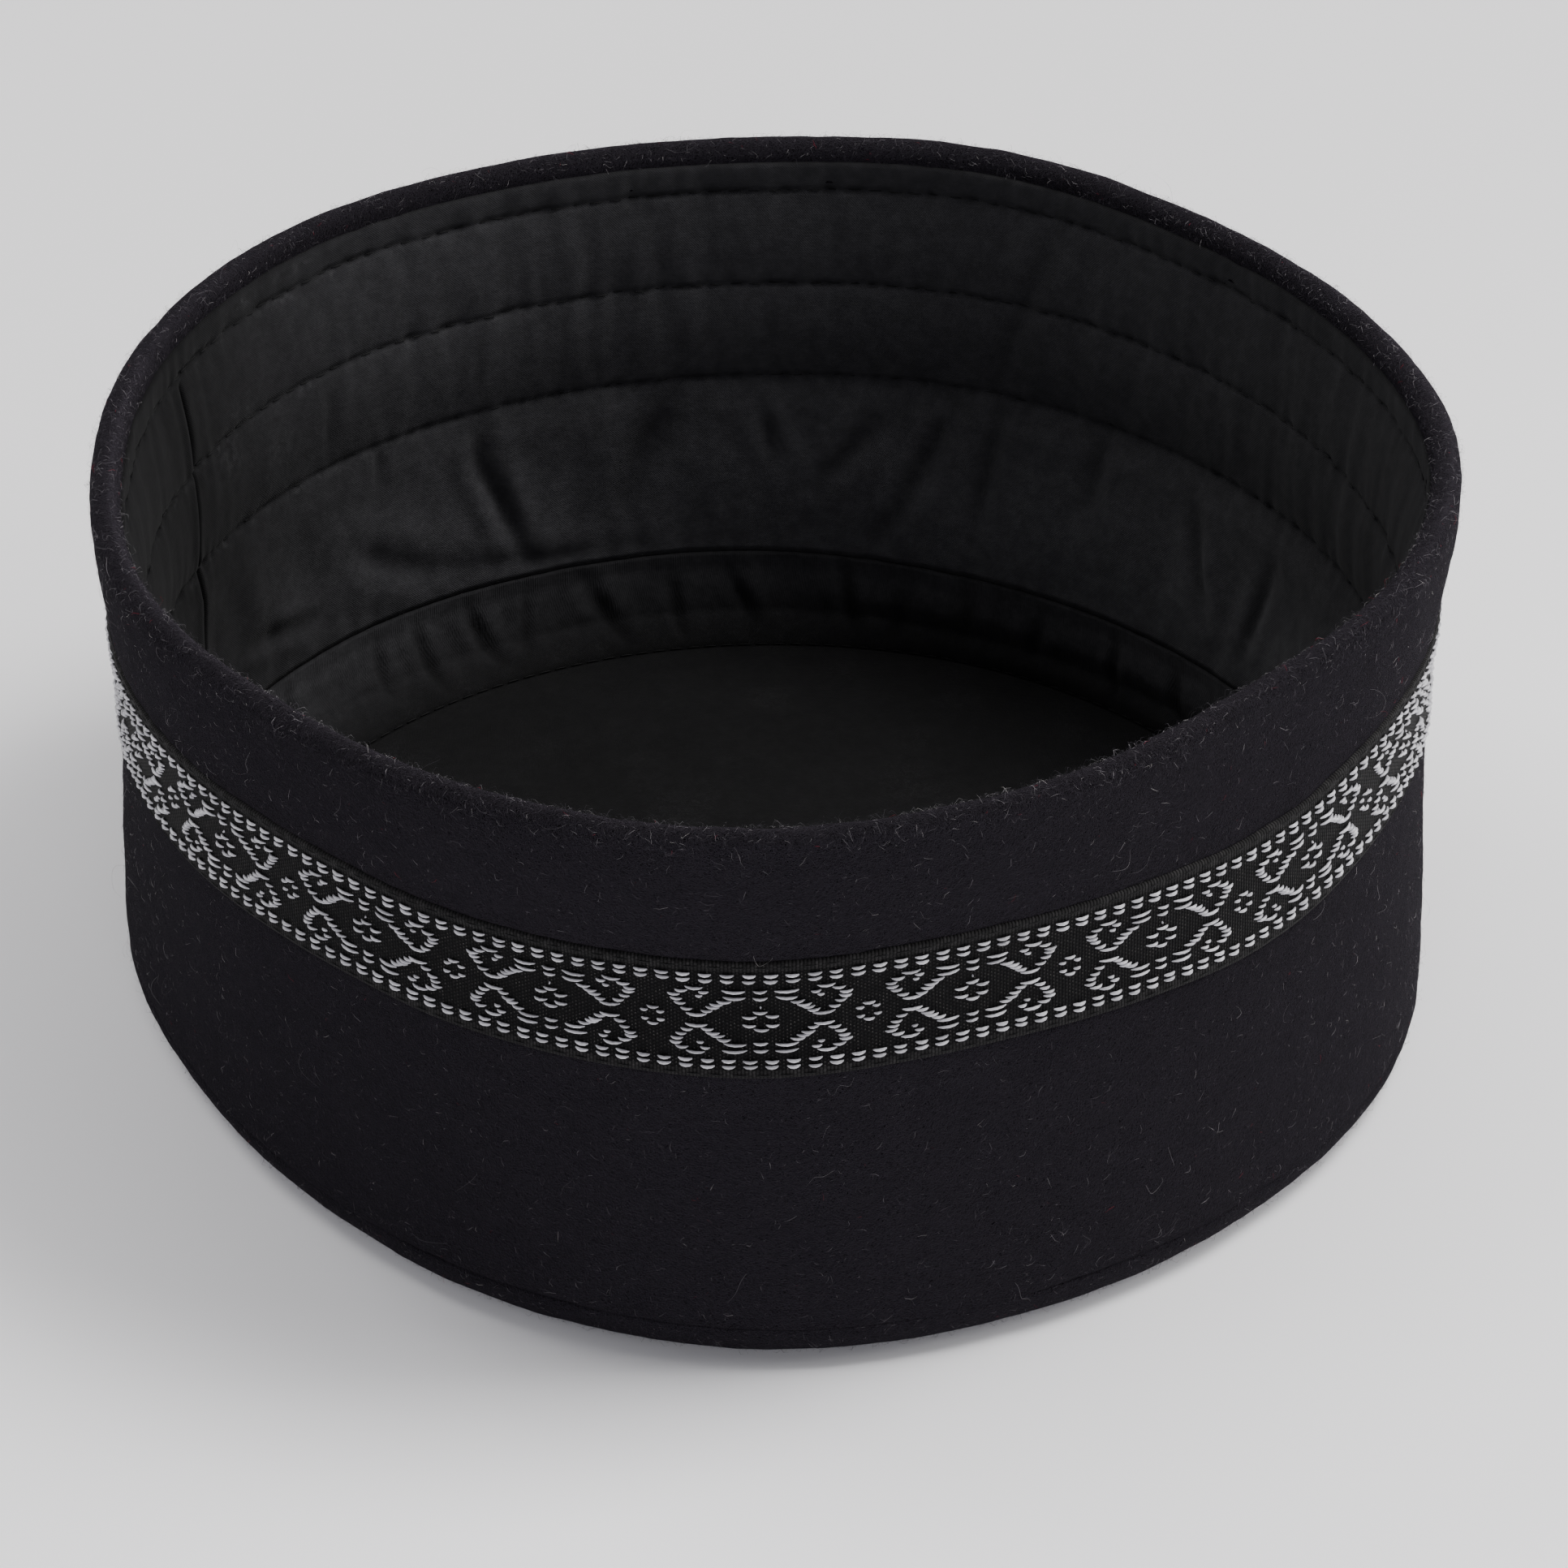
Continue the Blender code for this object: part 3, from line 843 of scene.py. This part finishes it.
def buildSideLining():
    over = 2 * capForm["rimRoll"] + capForm["gap"]
    flat = lining["onFelt"]
    rows = lining["rows"]
    heights = set(np.arange(rows[-1] + 1, lining["top"] - 0.6, lining["spacing"]).round(2))
    for row in rows:
        heights |= {row + step for step in (-0.8, -0.4, 0, 0.4, 0.8)}
    face = [(lining["top"], over + 0.1, 0), (lining["top"] - 0.35, over + 0.32, 0)]
    for height in sorted(heights, reverse=True):
        if height >= rows[0]:
            inset = np.interp(height, (rows[0], 80, 82), (flat + 0.7, over + 0.3, over + 0.4))
        else:
            top = rows[0] if height > rows[1] else rows[1]
            low = rows[1] if height > rows[1] else rows[2]
            share = np.clip((top - height) / (top - low), 0, 1)
            inset = flat + 0.7 + (lining["puff"] - 0.7) * math.sin(math.pi * share)
        face.append((height, float(inset), 0))
    slackRows = [face[-1]]
    for height, share in ((42, 0.30), (33, 0.62), (25, 0.85), (liningSeam + 0.15, 1)):
        slackRows.append((height, (flat + 1) * (1 - share), share))
    face += denseRows(slackRows, lining["spacing"])[1:]
    back = [(height, inset - lining["thickness"], share) for height, inset, share in face[::7]][::-1]
    section = face + [(face[-1][0], face[-1][1] - lining["thickness"], 1)] + back[1:]
    mesh, angles, heights, insets, shares = spinSection("side_lining_cloth", section, lining["steps"])
    angles = crowdColumns(angles)
    relief, hollow, lint = sideShape(angles, heights)
    insets = insets + shares * aroundValue("slack", angles) + relief
    setVertices(mesh, capPoints(angles, heights, insets))
    addRoundMap(mesh, angles, heights)
    addValues(mesh, "hollow", hollow)
    addValues(mesh, "lint", lint)
    # painted light and shade round the side lining
    addValues(mesh, "dust", paintedLightingAt(angles, heights))
    addPiece(mesh, liningCloth, "lining", "side_lining")


def buildCrownLining():
    base = capForm["felt"] + capForm["gap"]
    over = base + lining["thickness"]
    ring = lining["ring"]
    seam = liningSeam - capForm["gap"] / 2
    face = [(seam, 0.2, 1), (14, 0.2, 1), (10, 1.1, 1), (7, 0.3 * ring, 0.7),
            (over + 1.9, 0.45 * ring + 2.1, 0.45), (over + 0.6, ring - 1.2, 0.1), (over + 0.1, ring, 0),
            (over + 0.5, ring + 1.4, 0), (over + 0.6, ring + 5, 0), (over + 0.3, 40, 0),
            (over + 0.3, 100, 0)]
    back = [(base, 100), (base, ring + 1.6), (base + 2.2, 0.45 * ring + 0.8, 0.45), (10, -0.2, 1),
            (seam, -lining["thickness"], 1)]
    rows = back + denseRows(face[:8], 0.9) + denseRows(face[8:10], 6) + face[10:]
    mesh, angles, heights, insets, shares = spinSection("crown_lining_cloth", rows, lining["steps"],
                                                        closed=False)
    middle = insets > 99.9
    plainInsets = insets
    insets = insets + shares * aroundValue("slack", angles)
    upwards = readArray(mesh.vertices, "normal", 3)[:, 2]
    showing = upwards > -0.05
    # the way down from the seam and then in along the floor
    ways = heights - np.clip(plainInsets, 0, None)
    relief, hollow = creaseRelief(angles, ways, ringCreases)
    amount = np.sin(math.pi * np.clip((ways + ring - 3.5) / (seam + ring - 3.5), 0, 1)) ** 0.6
    relief = amount * (relief + 0.5 * clothNoise(angles, ways, 24, 0.05, 7))
    relief = np.where(showing, relief, 0.4 * relief)
    flatness = smoothStep((12 - heights) / 7)
    flatPart = smoothStep((plainInsets - ring - 1) / 6) * (upwards > 0.5)
    wrinkle = 0.25 * flatPart * clothNoise(angles, plainInsets, 6, 0.09, 9)
    lifted = np.where(showing, relief * flatness * 0.8, 0)
    heights = np.maximum(heights + wrinkle + lifted, base)
    insets = insets + relief * (1 - flatness)
    insets = np.where(middle, outerRadius(angles, footHeight), insets)
    setVertices(mesh, capPoints(angles, heights, insets))
    addRoundMap(mesh, angles, -insets)
    # painted shade in the stitched ring's groove and under the seam at the top edge
    ringGroove = bell(plainInsets - ring, 0.7)
    topEdge = bell(seam - heights, 0.5)
    hollow = np.maximum(hollow * 0.5 * amount, 0.6 * topEdge)
    addValues(mesh, "hollow", np.maximum(hollow, 0.6 * ringGroove))
    belowSeam = bell(ways - seam + 1.6, 0.9)
    leftward = smoothStep(1 - np.abs(angleBetween(angles, -160)) / 50)
    patchy = np.clip(clothNoise(angles, ways, 40, 0.2, 13) * 2, 0, 1)
    addValues(mesh, "lint", 0.4 * belowSeam * leftward * patchy)
    # painted light and shade: the crown lining's floor is made much darker, and its rise to the seam lighter
    addValues(mesh, "dust", 0.10 + 3.3 * smoothStep(heights / liningSeam))
    addPiece(mesh, liningCloth, "lining", "crown_lining")


buildSideLining()
buildCrownLining()
print("linings are made")


# Woven ribbon

ribbon = {
    "repeats": 21,
    "proud": 0.45,
    "seated": 0.4,
    "steps": 540,
    "phase": -0.27,
    "dashThickness": 0.54,
    "floatThickness": 0.39,
    "floatArch": 0.40,
    "floatBody": 0.24,
    "stretch": 1.02,
}
# Floats of one repeat, in millimetres: start and end along the ribbon, and height above its middle.
# The horns are one quarter of the ornament, mirrored both ways.
hornFloats = (
    (-5, -1.75, 4.6), (-4.9, -1.8, 3.6),
    (-5.7, -3.7, 2.9), (-6.6, -4.6, 2.4), (-7.1, -5.2, 1.95), (-7.7, -6, 1.35), (-9.7, -6.7, 0.85),
    (-10.4, -8.7, 1.6), (-11.1, -9.5, 2.4), (-11.7, -10, 3.1), (-11.9, -10.1, 3.7), (-11.1, -9.2, 4.35),
    (-9.8, -7.2, 5), (-7.9, -6.5, 4.3), (-8.3, -7.3, 3.6),
)
barFloats = ((-0.95, 0.95, 4.6), (-0.95, 0.95, 3.55))
flowerFloats = (
    (-0.12, 0.12, 2.1), (-1, 1, 1.3), (-2.4, -0.5, 0.65), (0.5, 2.4, 0.65), (-2.4, -0.5, -0.65),
    (0.5, 2.4, -0.65), (-1, 1, -1.3),
)
smallFlowerFloats = (
    (-0.9, 0.9, 1.3), (-1.65, -0.5, 0.65), (0.5, 1.65, 0.65), (-1.65, -0.5, -0.65), (0.5, 1.65, -0.65),
    (-0.8, 0.8, -1.25),
)
dashes = {"pitch": 2.78, "length": 1.9, "heights": (7.13, 6.25)}


def ribbonLengths():
    # angles, and the length along the ribbon's face up to each of them
    angles = np.linspace(0, 360, 1441)
    line = rawPoints(angles, waistHeight, -ribbon["proud"])
    lengths = np.concatenate(([0], np.cumsum(np.linalg.norm(np.diff(line, axis=0), axis=1))))
    return angles, lengths


ribbonAngles, ribbonRun = ribbonLengths()
repeatLength = ribbonRun[-1] / ribbon["repeats"]


def ribbonPoints(along, across, out):
    angles = np.interp(np.mod(along + ribbon["phase"], ribbonRun[-1]), ribbonRun, ribbonAngles)
    heights = waistHeight + across * ribbon["stretch"] + ribbonRise(angles)
    return capPoints(angles, heights, -ribbon["proud"] - out)


def buildRibbon():
    half = feltWall["ribbonWidth"] / 2
    waist, proud = waistHeight, ribbon["proud"]
    face = [(-half, 0.15), (-half + 0.15, -proud * 0.75), (-half + 0.5, -proud - 0.05), (-half + 1.2, -proud)]
    face += [(-across, inset) for across, inset in reversed(face)]
    rows = [(waist + across, inset, 0) for across, inset in face]
    rows = rows[:3] + denseRows(rows[3:5], 1.1) + rows[5:]
    rows += [(waist + half, ribbon["seated"], 0), (waist - half, ribbon["seated"], 0)]
    mesh, angles, heights, insets, _ = spinSection("ribbon_ground", rows, ribbon["steps"])
    setVertices(mesh, capPoints(angles, heights + ribbonRise(angles), insets))
    addRoundMap(mesh, angles, heights - waist)
    addPiece(mesh, ribbonGround, "ribbon", "ribbon")


def beadTemplate(segments, rings):
    # a small round bead, drawn out along x by what uses it
    bm = bmesh.new()
    bmesh.ops.create_uvsphere(bm, u_segments=segments, v_segments=rings, radius=1)
    bmesh.ops.rotate(bm, verts=bm.verts, cent=(0, 0, 0), matrix=Matrix.Rotation(math.pi / 2, 3, "Y"))
    return finishedMesh(bm, "bead")


def buildFloats():
    rng = np.random.default_rng(31)
    thin, wide, repeats = ribbon["floatThickness"], ribbon["dashThickness"], ribbon["repeats"]
    chart = [(start * side, end * side, height * level, thin) for start, end, height in hornFloats
             for side in (1, -1) for level in (1, -1)]
    chart += [(start, end, height * level, thin) for start, end, height in barFloats for level in (1, -1)]
    chart += [(*place, thin) for place in flowerFloats]
    half = repeatLength / 2
    chart += [(start + half, end + half, height, thin) for start, end, height in smallFlowerFloats]
    perRepeat = round(repeatLength / dashes["pitch"])
    pitch, reach = repeatLength / perRepeat, dashes["length"] / 2
    for middle in (np.arange(perRepeat) + 0.5) * pitch:
        chart += [(middle - reach, middle + reach, height * level, wide)
                  for height in dashes["heights"] for level in (1, -1)]
    chart = np.array(chart)
    ends = np.sort(chart[:, :2], axis=1)
    middles = (ends.mean(axis=1) + np.arange(repeats)[:, None] * repeatLength).ravel()
    lengths, levels, thick = (np.tile(column, repeats) for column in (np.diff(ends).ravel(), *chart[:, 2:].T))
    count = len(middles)
    middles = middles + rng.normal(0, 0.05, count)
    lengths = lengths * rng.uniform(0.95, 1.07, count)
    levels = levels + rng.normal(0, 0.035, count)
    slopes = rng.normal(0, 0.035, count)
    thick = thick * rng.uniform(0.88, 1.12, count)
    arch = ribbon["floatArch"] * np.clip(lengths / 1.9, 0.35, 1.1) * rng.uniform(0.8, 1.15, count)
    middles, lengths, levels, slopes, thick, arch = (
        values[:, None] for values in (middles, lengths, levels, slopes, thick, arch))
    template = beadTemplate(6, 6)
    spots = vertexArray(template)
    x, y, z = (spots[:, place][None, :] for place in range(3))
    blunt = np.sign(x) * np.abs(x) ** 0.88
    roundness = np.sqrt(1 - np.abs(x) ** 2 + 1e-9)
    fullness = np.where(np.abs(x) < 0.999, (1 - np.abs(x) ** 2.5) ** 0.6 / roundness, 0)
    fullness = np.minimum(fullness, 1.6)
    along = middles + blunt * lengths / 2
    across = levels + y * fullness * thick / 2 + slopes * blunt * lengths / 2
    out = arch * (1 - blunt ** 2) - 0.08 + z * fullness * ribbon["floatBody"]
    mesh = joinedCopies("ribbon_floats", template, ribbonPoints(along, across, out))
    addValues(mesh, "tone", np.repeat(rng.uniform(0.55, 1, count), len(spots)))
    shiftsUp = rng.uniform(0, 40, count)[:, None]
    corners = cornerVertices(mesh)
    addMap(mesh, "yarn", (blunt * lengths).ravel()[corners], (y + shiftsUp).ravel()[corners])
    addPiece(mesh, silverYarn, "ribbon")
    print("floats:", count)


buildRibbon()
buildFloats()
print("ribbon is made")


# Sewing: small stitches that lie in their grooves

stitches = {"pitch": 3.1, "edgePitch": 2.9, "length": 2.1, "thickness": 0.26, "edgeThickness": 0.2,
            "arch": 0.10, "girth": math.tau * 92}


def stitchRow(template, heightAt, insetAt, tilt, pitch, thickness, rng):
    # heightAt and insetAt give a row's height and inset at each angle, so that it follows its cloth
    count = round(stitches["girth"] / pitch)
    angles = np.arange(count) * 360 / count + rng.normal(0, 0.03, count)
    spots = vertexArray(template)
    heights, insets, tilts = (values + 0 * angles for values in (heightAt(angles), insetAt(angles), tilt))
    points, normals, alongs = surfaceFrame(angles, heights, insets, tilts)
    sides = np.cross(normals, alongs)
    x, y, z = (spots[:, place][None, :, None] for place in range(3))
    return (points[:, None, :] + alongs[:, None, :] * x * stitches["length"] * mm / 2
            + sides[:, None, :] * y * thickness * mm / 2
            + normals[:, None, :] * (z * thickness * 0.5 + (1 - x ** 2) * stitches["arch"]) * mm)


def buildStitches():
    rng = np.random.default_rng(5)
    template = beadTemplate(5, 4)
    plain = (stitches["pitch"], stitches["thickness"], rng)
    edge = (stitches["edgePitch"], stitches["edgeThickness"], rng)

    def liningRow(row):
        face = lining["onFelt"] + (0.5 if row == lining["rows"][-1] else 0.7)

        def insetAt(angles):
            return face + sideShape(angles, row + 0 * angles)[0] + 0.02
        return stitchRow(template, lambda angles: row, insetAt, 180, *plain)

    def ribbonEdge(height):
        return stitchRow(template, lambda angles: height + ribbonRise(angles),
                         lambda angles: -ribbon["proud"], 0, *edge)

    rows = [liningRow(row) for row in lining["rows"]]
    over = capForm["felt"] + capForm["gap"] + lining["thickness"] + 0.25
    rows.append(stitchRow(template, lambda angles: over, lambda angles: lining["ring"], 90, *plain))
    addPiece(joinedCopies("lining_stitches", template, np.concatenate(rows)), thread, "lining")
    edges = [ribbonEdge(height) for height in (ribbonLow + 0.75, ribbonHigh - 0.75)]
    addPiece(joinedCopies("ribbon_stitches", template, np.concatenate(edges)), thread, "ribbon")


buildStitches()
print("stitches are made")


# Wool fibres: thin closed cones that curl over the felt

def fibreTemplate(segments):
    bm = bmesh.new()
    bmesh.ops.create_cone(bm, cap_ends=True, segments=3, radius1=1, radius2=0, depth=1)
    bmesh.ops.translate(bm, verts=bm.verts, vec=(0, 0, 0.5))
    for cut in range(1, segments):
        bmesh.ops.bisect_plane(bm, geom=bm.verts[:] + bm.edges[:] + bm.faces[:],
                               plane_co=(0, 0, cut / segments), plane_no=(0, 0, 1), dist=1e-6)
    bmesh.ops.triangulate(bm, faces=bm.faces)
    bmesh.ops.recalc_face_normals(bm, faces=bm.faces)
    return finishedMesh(bm, "fibre")


def layFibres(name, spots, look, rng):
    # spots are angles, heights, insets and tilts of the fibres' roots
    angles, heights, insets, tilts = spots
    count = len(angles)
    template = fibreTemplate(look["segments"])
    shape = vertexArray(template)
    s = shape[:, 2][None, :]
    ringX, ringY = shape[:, 0][None, :], shape[:, 1][None, :]
    wide = np.maximum(np.hypot(ringX, ringY), 1e-9)
    taper = np.where(s > 0.999, 0, np.minimum(1, 1.6 * (1 - s) + 0.25))
    points, normals, alongs = surfaceFrame(angles, heights, insets, tilts)
    sides = np.cross(normals, alongs)
    heading = rng.uniform(0, math.tau, count) if look["combed"] is None else rng.normal(
        math.radians(look["combed"]), 0.9, count)
    forward = alongs * np.cos(heading)[:, None] + sides * np.sin(heading)[:, None]
    sideways = np.cross(normals, forward)

    def spread(low, high):
        return rng.uniform(low, high, count)[:, None]

    length = look["length"][0] + (look["length"][1] - look["length"][0]) * rng.power(0.6, count)[:, None]
    curl = spread(-look["curl"], look["curl"])
    curl = np.where(np.abs(curl) < 0.05, 0.05, curl)
    lift = length * spread(*look["lift"])
    wave = spread(0.4, 1) * look["wave"]
    phase = spread(0, math.tau)
    beats = spread(0.6, 1.6)
    ahead = length * np.sin(curl * s) / curl
    swing = wave * (np.sin(math.tau * beats * s + phase) - np.sin(phase))
    aside = length * (1 - np.cos(curl * s)) / curl + swing
    raised = lift * np.sin(math.pi * look["arc"] * s) + wave * 0.6 * np.sin(math.tau * beats * s)
    radius = look["radius"] * spread(0.7, 1.3)
    ringSide = radius * taper * ringX / wide
    ringOut = radius * taper * ringY / wide
    positions = (points[:, None, :] + forward[:, None, :] * (ahead * mm)[:, :, None]
                 + sideways[:, None, :] * ((aside + ringSide) * mm)[:, :, None]
                 + normals[:, None, :] * ((raised + ringOut) * mm)[:, :, None])
    positions[..., 2] = np.maximum(positions[..., 2], 0.00001)
    mesh = joinedCopies(name, template, positions)
    tones = np.clip(rng.beta(*look["tone"], count) * 0.97, 0, 0.97)
    tones = np.where(rng.uniform(0, 1, count) < look["red"], 1, tones)
    addValues(mesh, "tone", np.repeat(tones, len(shape)))
    addPiece(mesh, fibre, "felt")
    return count


def spotsOnWall(count, low, high, rng, fromAngle=-180, toAngle=180):
    angles = rng.uniform(fromAngle, toAngle, count)
    heights = rng.uniform(low, high, count)
    heights = heights + ribbonRise(angles) * besideRibbon(heights)
    points = capPoints(angles, heights, 0)
    insets = -feltUneven(points, feltWall["uneven"]) + 0.05
    return angles, heights, insets, np.zeros(count)


def spotsOnRim(count, fromTurn, toTurn, rng):
    roll = capForm["rimRoll"]
    angles = rng.uniform(-180, 180, count)
    tilts = rng.uniform(fromTurn, toTurn, count)
    turns = np.radians(tilts)
    heights = rimHeight - roll + roll * np.sin(turns)
    return angles, heights, roll - roll * np.cos(turns) + 0.05 * np.cos(turns), tilts


def spotsOnFoot(count, rng):
    # from just above the crown seam down the rounded edge
    arc = capForm["footRound"]
    angles = rng.uniform(-180, 180, count)
    tilts = rng.uniform(0, 62, count)
    turns = np.radians(tilts)
    heights = arc - arc * np.sin(turns)
    insets = arc - arc * np.cos(turns)
    stand = feltUneven(capPoints(angles, heights, insets), feltWall["uneven"])
    return angles, heights, insets - stand + 0.05, -tilts


nap = {"segments": 1, "length": (0.35, 1.15), "curl": 0.4, "lift": (0.05, 0.35), "arc": 0.5, "wave": 0,
       "radius": 0.0125, "tone": (1.2, 1.9), "red": 0.004, "combed": None}
fuzz = dict(nap, segments=2, length=(0.6, 2.2), curl=1.8, lift=(0.02, 0.25), arc=0.8, wave=0.10, radius=0.013,
            tone=(2.3, 1.5), red=0.010)
rimFuzz = dict(fuzz, length=(0.4, 1.8), curl=1.6, lift=(0.10, 0.60), wave=0.08, radius=0.012, tone=(1.7, 1.8))
looseHair = dict(fuzz, segments=12, length=(2.2, 8), curl=4, lift=(0.03, 0.30), arc=1, wave=0.5,
                 radius=0.011, tone=(2.6, 1.5), red=0.02)
# tufts of longer hairs that stand off the outline: from and to angle, from and to height, count
hairTufts = ((-100, -82, 66, 82, 14), (18, 34, 8, 14, 10), (-168, -158, 80, 83, 6),
             (172, 182, 80, 83, 7), (84, 96, 62, 80, 6))


fibreCounts = {"napLow": 34000, "napHigh": 16600, "napFoot": 7200, "fuzzLow": 5600, "fuzzHigh": 3000,
               "fuzzFoot": 3200, "fuzzRim": 11400, "hairsLow": 170, "hairsHigh": 90, "hairsRim": 50}


def joinedSpots(groups):
    return [np.concatenate(values) for values in zip(*groups)]


def buildFibres():
    rng = np.random.default_rng(77)
    counts = fibreCounts
    top = 84.2
    total = layFibres("wall_nap_low", spotsOnWall(counts["napLow"], 7, ribbonLow - 0.3, rng), nap, rng)
    total += layFibres("wall_nap_high", spotsOnWall(counts["napHigh"], ribbonHigh + 0.3, top, rng), nap, rng)
    total += layFibres("foot_nap", spotsOnFoot(counts["napFoot"], rng), nap, rng)
    total += layFibres("wall_fuzz", joinedSpots((
        spotsOnWall(counts["fuzzLow"], 7, ribbonLow - 0.5, rng),
        spotsOnWall(counts["fuzzHigh"], ribbonHigh + 0.5, top, rng))), fuzz, rng)
    total += layFibres("foot_fuzz", spotsOnFoot(counts["fuzzFoot"], rng), rimFuzz, rng)
    total += layFibres("rim_fuzz", spotsOnRim(counts["fuzzRim"], -10, 190, rng), rimFuzz, rng)
    hairSpots = [spotsOnWall(counts["hairsLow"], 8, ribbonLow - 1, rng),
                 spotsOnWall(counts["hairsHigh"], ribbonHigh + 1, 84, rng),
                 spotsOnRim(counts["hairsRim"], 0, 120, rng)]
    hairSpots += [spotsOnWall(count, low, high, rng, fromAngle, toAngle)
                  for fromAngle, toAngle, low, high, count in hairTufts]
    total += layFibres("loose_hairs", joinedSpots(hairSpots), looseHair, rng)
    print("fibres:", total)


buildFibres()


# Floor, light and camera

# painted light: the floor is coloured lighter towards the front and the right, as if more light fell there
floorPaintedLight = {"far": (0.74, 0.735, 0.75), "near": (0.965, 0.96, 0.98)}


def buildFloor():
    bm = bmesh.new()
    bmesh.ops.create_grid(bm, x_segments=1, y_segments=1, size=3)
    bmesh.ops.translate(bm, verts=bm.verts, vec=(0, 0, -0.00005))
    mesh = finishedMesh(bm, "floor")
    material, shader = startMaterial("paleFloor", Roughness=0.75)
    place = objectPlace()
    parts = addNode("ShaderNodeSeparateXYZ", Vector=place)
    # painted light: the share rises towards the front and the right
    paintedLightShare = mathNode("SUBTRACT", times(parts.outputs["X"], 0.6), parts.outputs["Y"])
    plug(shader["Base Color"],
         mixColours(remap(paintedLightShare, -0.2, 0.25), floorPaintedLight["far"], floorPaintedLight["near"]))
    mesh.materials.append(material)
    floor = addObject("floor", mesh)


warm, cool, blue = (1, 0.99, 0.98), (0.97, 0.97, 1), (0.94, 0.93, 1)
# name, place, size, watts, colour
softboxes = (
    ("rightHigh", (0.647, 0.114, 1.236), (0.5, 0.5), 18, warm),
    ("rightBox", (1.15, 0.05, 0.62), (0.9, 0.9), 12.5, warm),
    ("leftBox", (-1.15, 0.05, 0.62), (0.9, 0.9), 5, cool),
    ("leftBack", (-0.801, 0.582, 0.990), (0.5, 0.5), 6.7, warm),
    ("overhead", (0.081, 0.304, 1.364), (0.9, 0.35), 3.5, warm),
    ("leftHigh", (-0.618, 0.225, 1.236), (0.5, 0.5), 1, warm),
    ("topBox", (0, 0.35, 1.25), (1.5, 1.1), 5.5, warm),
    ("lowBox", (0, -1.35, 0.5), (0.9, 0.5), 6.5, blue),
    ("frontBox", (0, -1.1, 0.8), (0.7, 0.5), 1, cool),
)


def buildLights():
    aim = Vector((0, 0, 0.04))
    for name, place, size, watts, colour in softboxes:
        light = bpy.data.lights.new(name, "AREA")
        light.shape = "RECTANGLE"
        light.size, light.size_y = size
        light.energy, light.color = watts, colour
        lamp = addObject(name, light)
        lamp.location = place
        lamp.rotation_euler = (aim - Vector(place)).to_track_quat("-Z", "Y").to_euler()
    world = bpy.data.worlds.new("studio")
    world.use_nodes = True
    backdrop = world.node_tree.nodes["Background"]
    backdrop.inputs["Color"].default_value = (0.86, 0.88, 0.95, 1)
    backdrop.inputs["Strength"].default_value = 0.01
    bpy.context.scene.world = world


cameraSetup = {"target": (0.00092, 0.00203, 0.02951), "distance": 0.850, "elevation": 33.46, "roll": -0.855,
               "lens": 135.88, "sensor": 36}


def placeCamera():
    elevation = math.radians(cameraSetup["elevation"])
    roll = math.radians(cameraSetup["roll"])
    backward = Vector((0, -math.cos(elevation), math.sin(elevation)))
    right, up = Vector((1, 0, 0)), Vector((0, math.sin(elevation), math.cos(elevation)))
    rolledRight = right * math.cos(roll) + up * math.sin(roll)
    rolledUp = up * math.cos(roll) - right * math.sin(roll)
    lens = bpy.data.cameras.new("camera")
    lens.lens = cameraSetup["lens"]
    lens.sensor_width = cameraSetup["sensor"]
    camera = addObject("camera", lens)
    turn = Matrix((rolledRight, rolledUp, backward)).transposed().to_4x4()
    camera.matrix_world = Matrix.Translation(
        Vector(cameraSetup["target"]) + backward * cameraSetup["distance"]) @ turn
    bpy.context.scene.camera = camera


buildFloor()
buildLights()
placeCamera()
print("floor, lights and camera are placed")

triangles = {piece.name: sum(len(polygon.vertices) - 2 for polygon in piece.data.polygons)
             for piece in bpy.data.objects if piece.type == "MESH"}
print("triangles:", sum(triangles.values()), triangles)
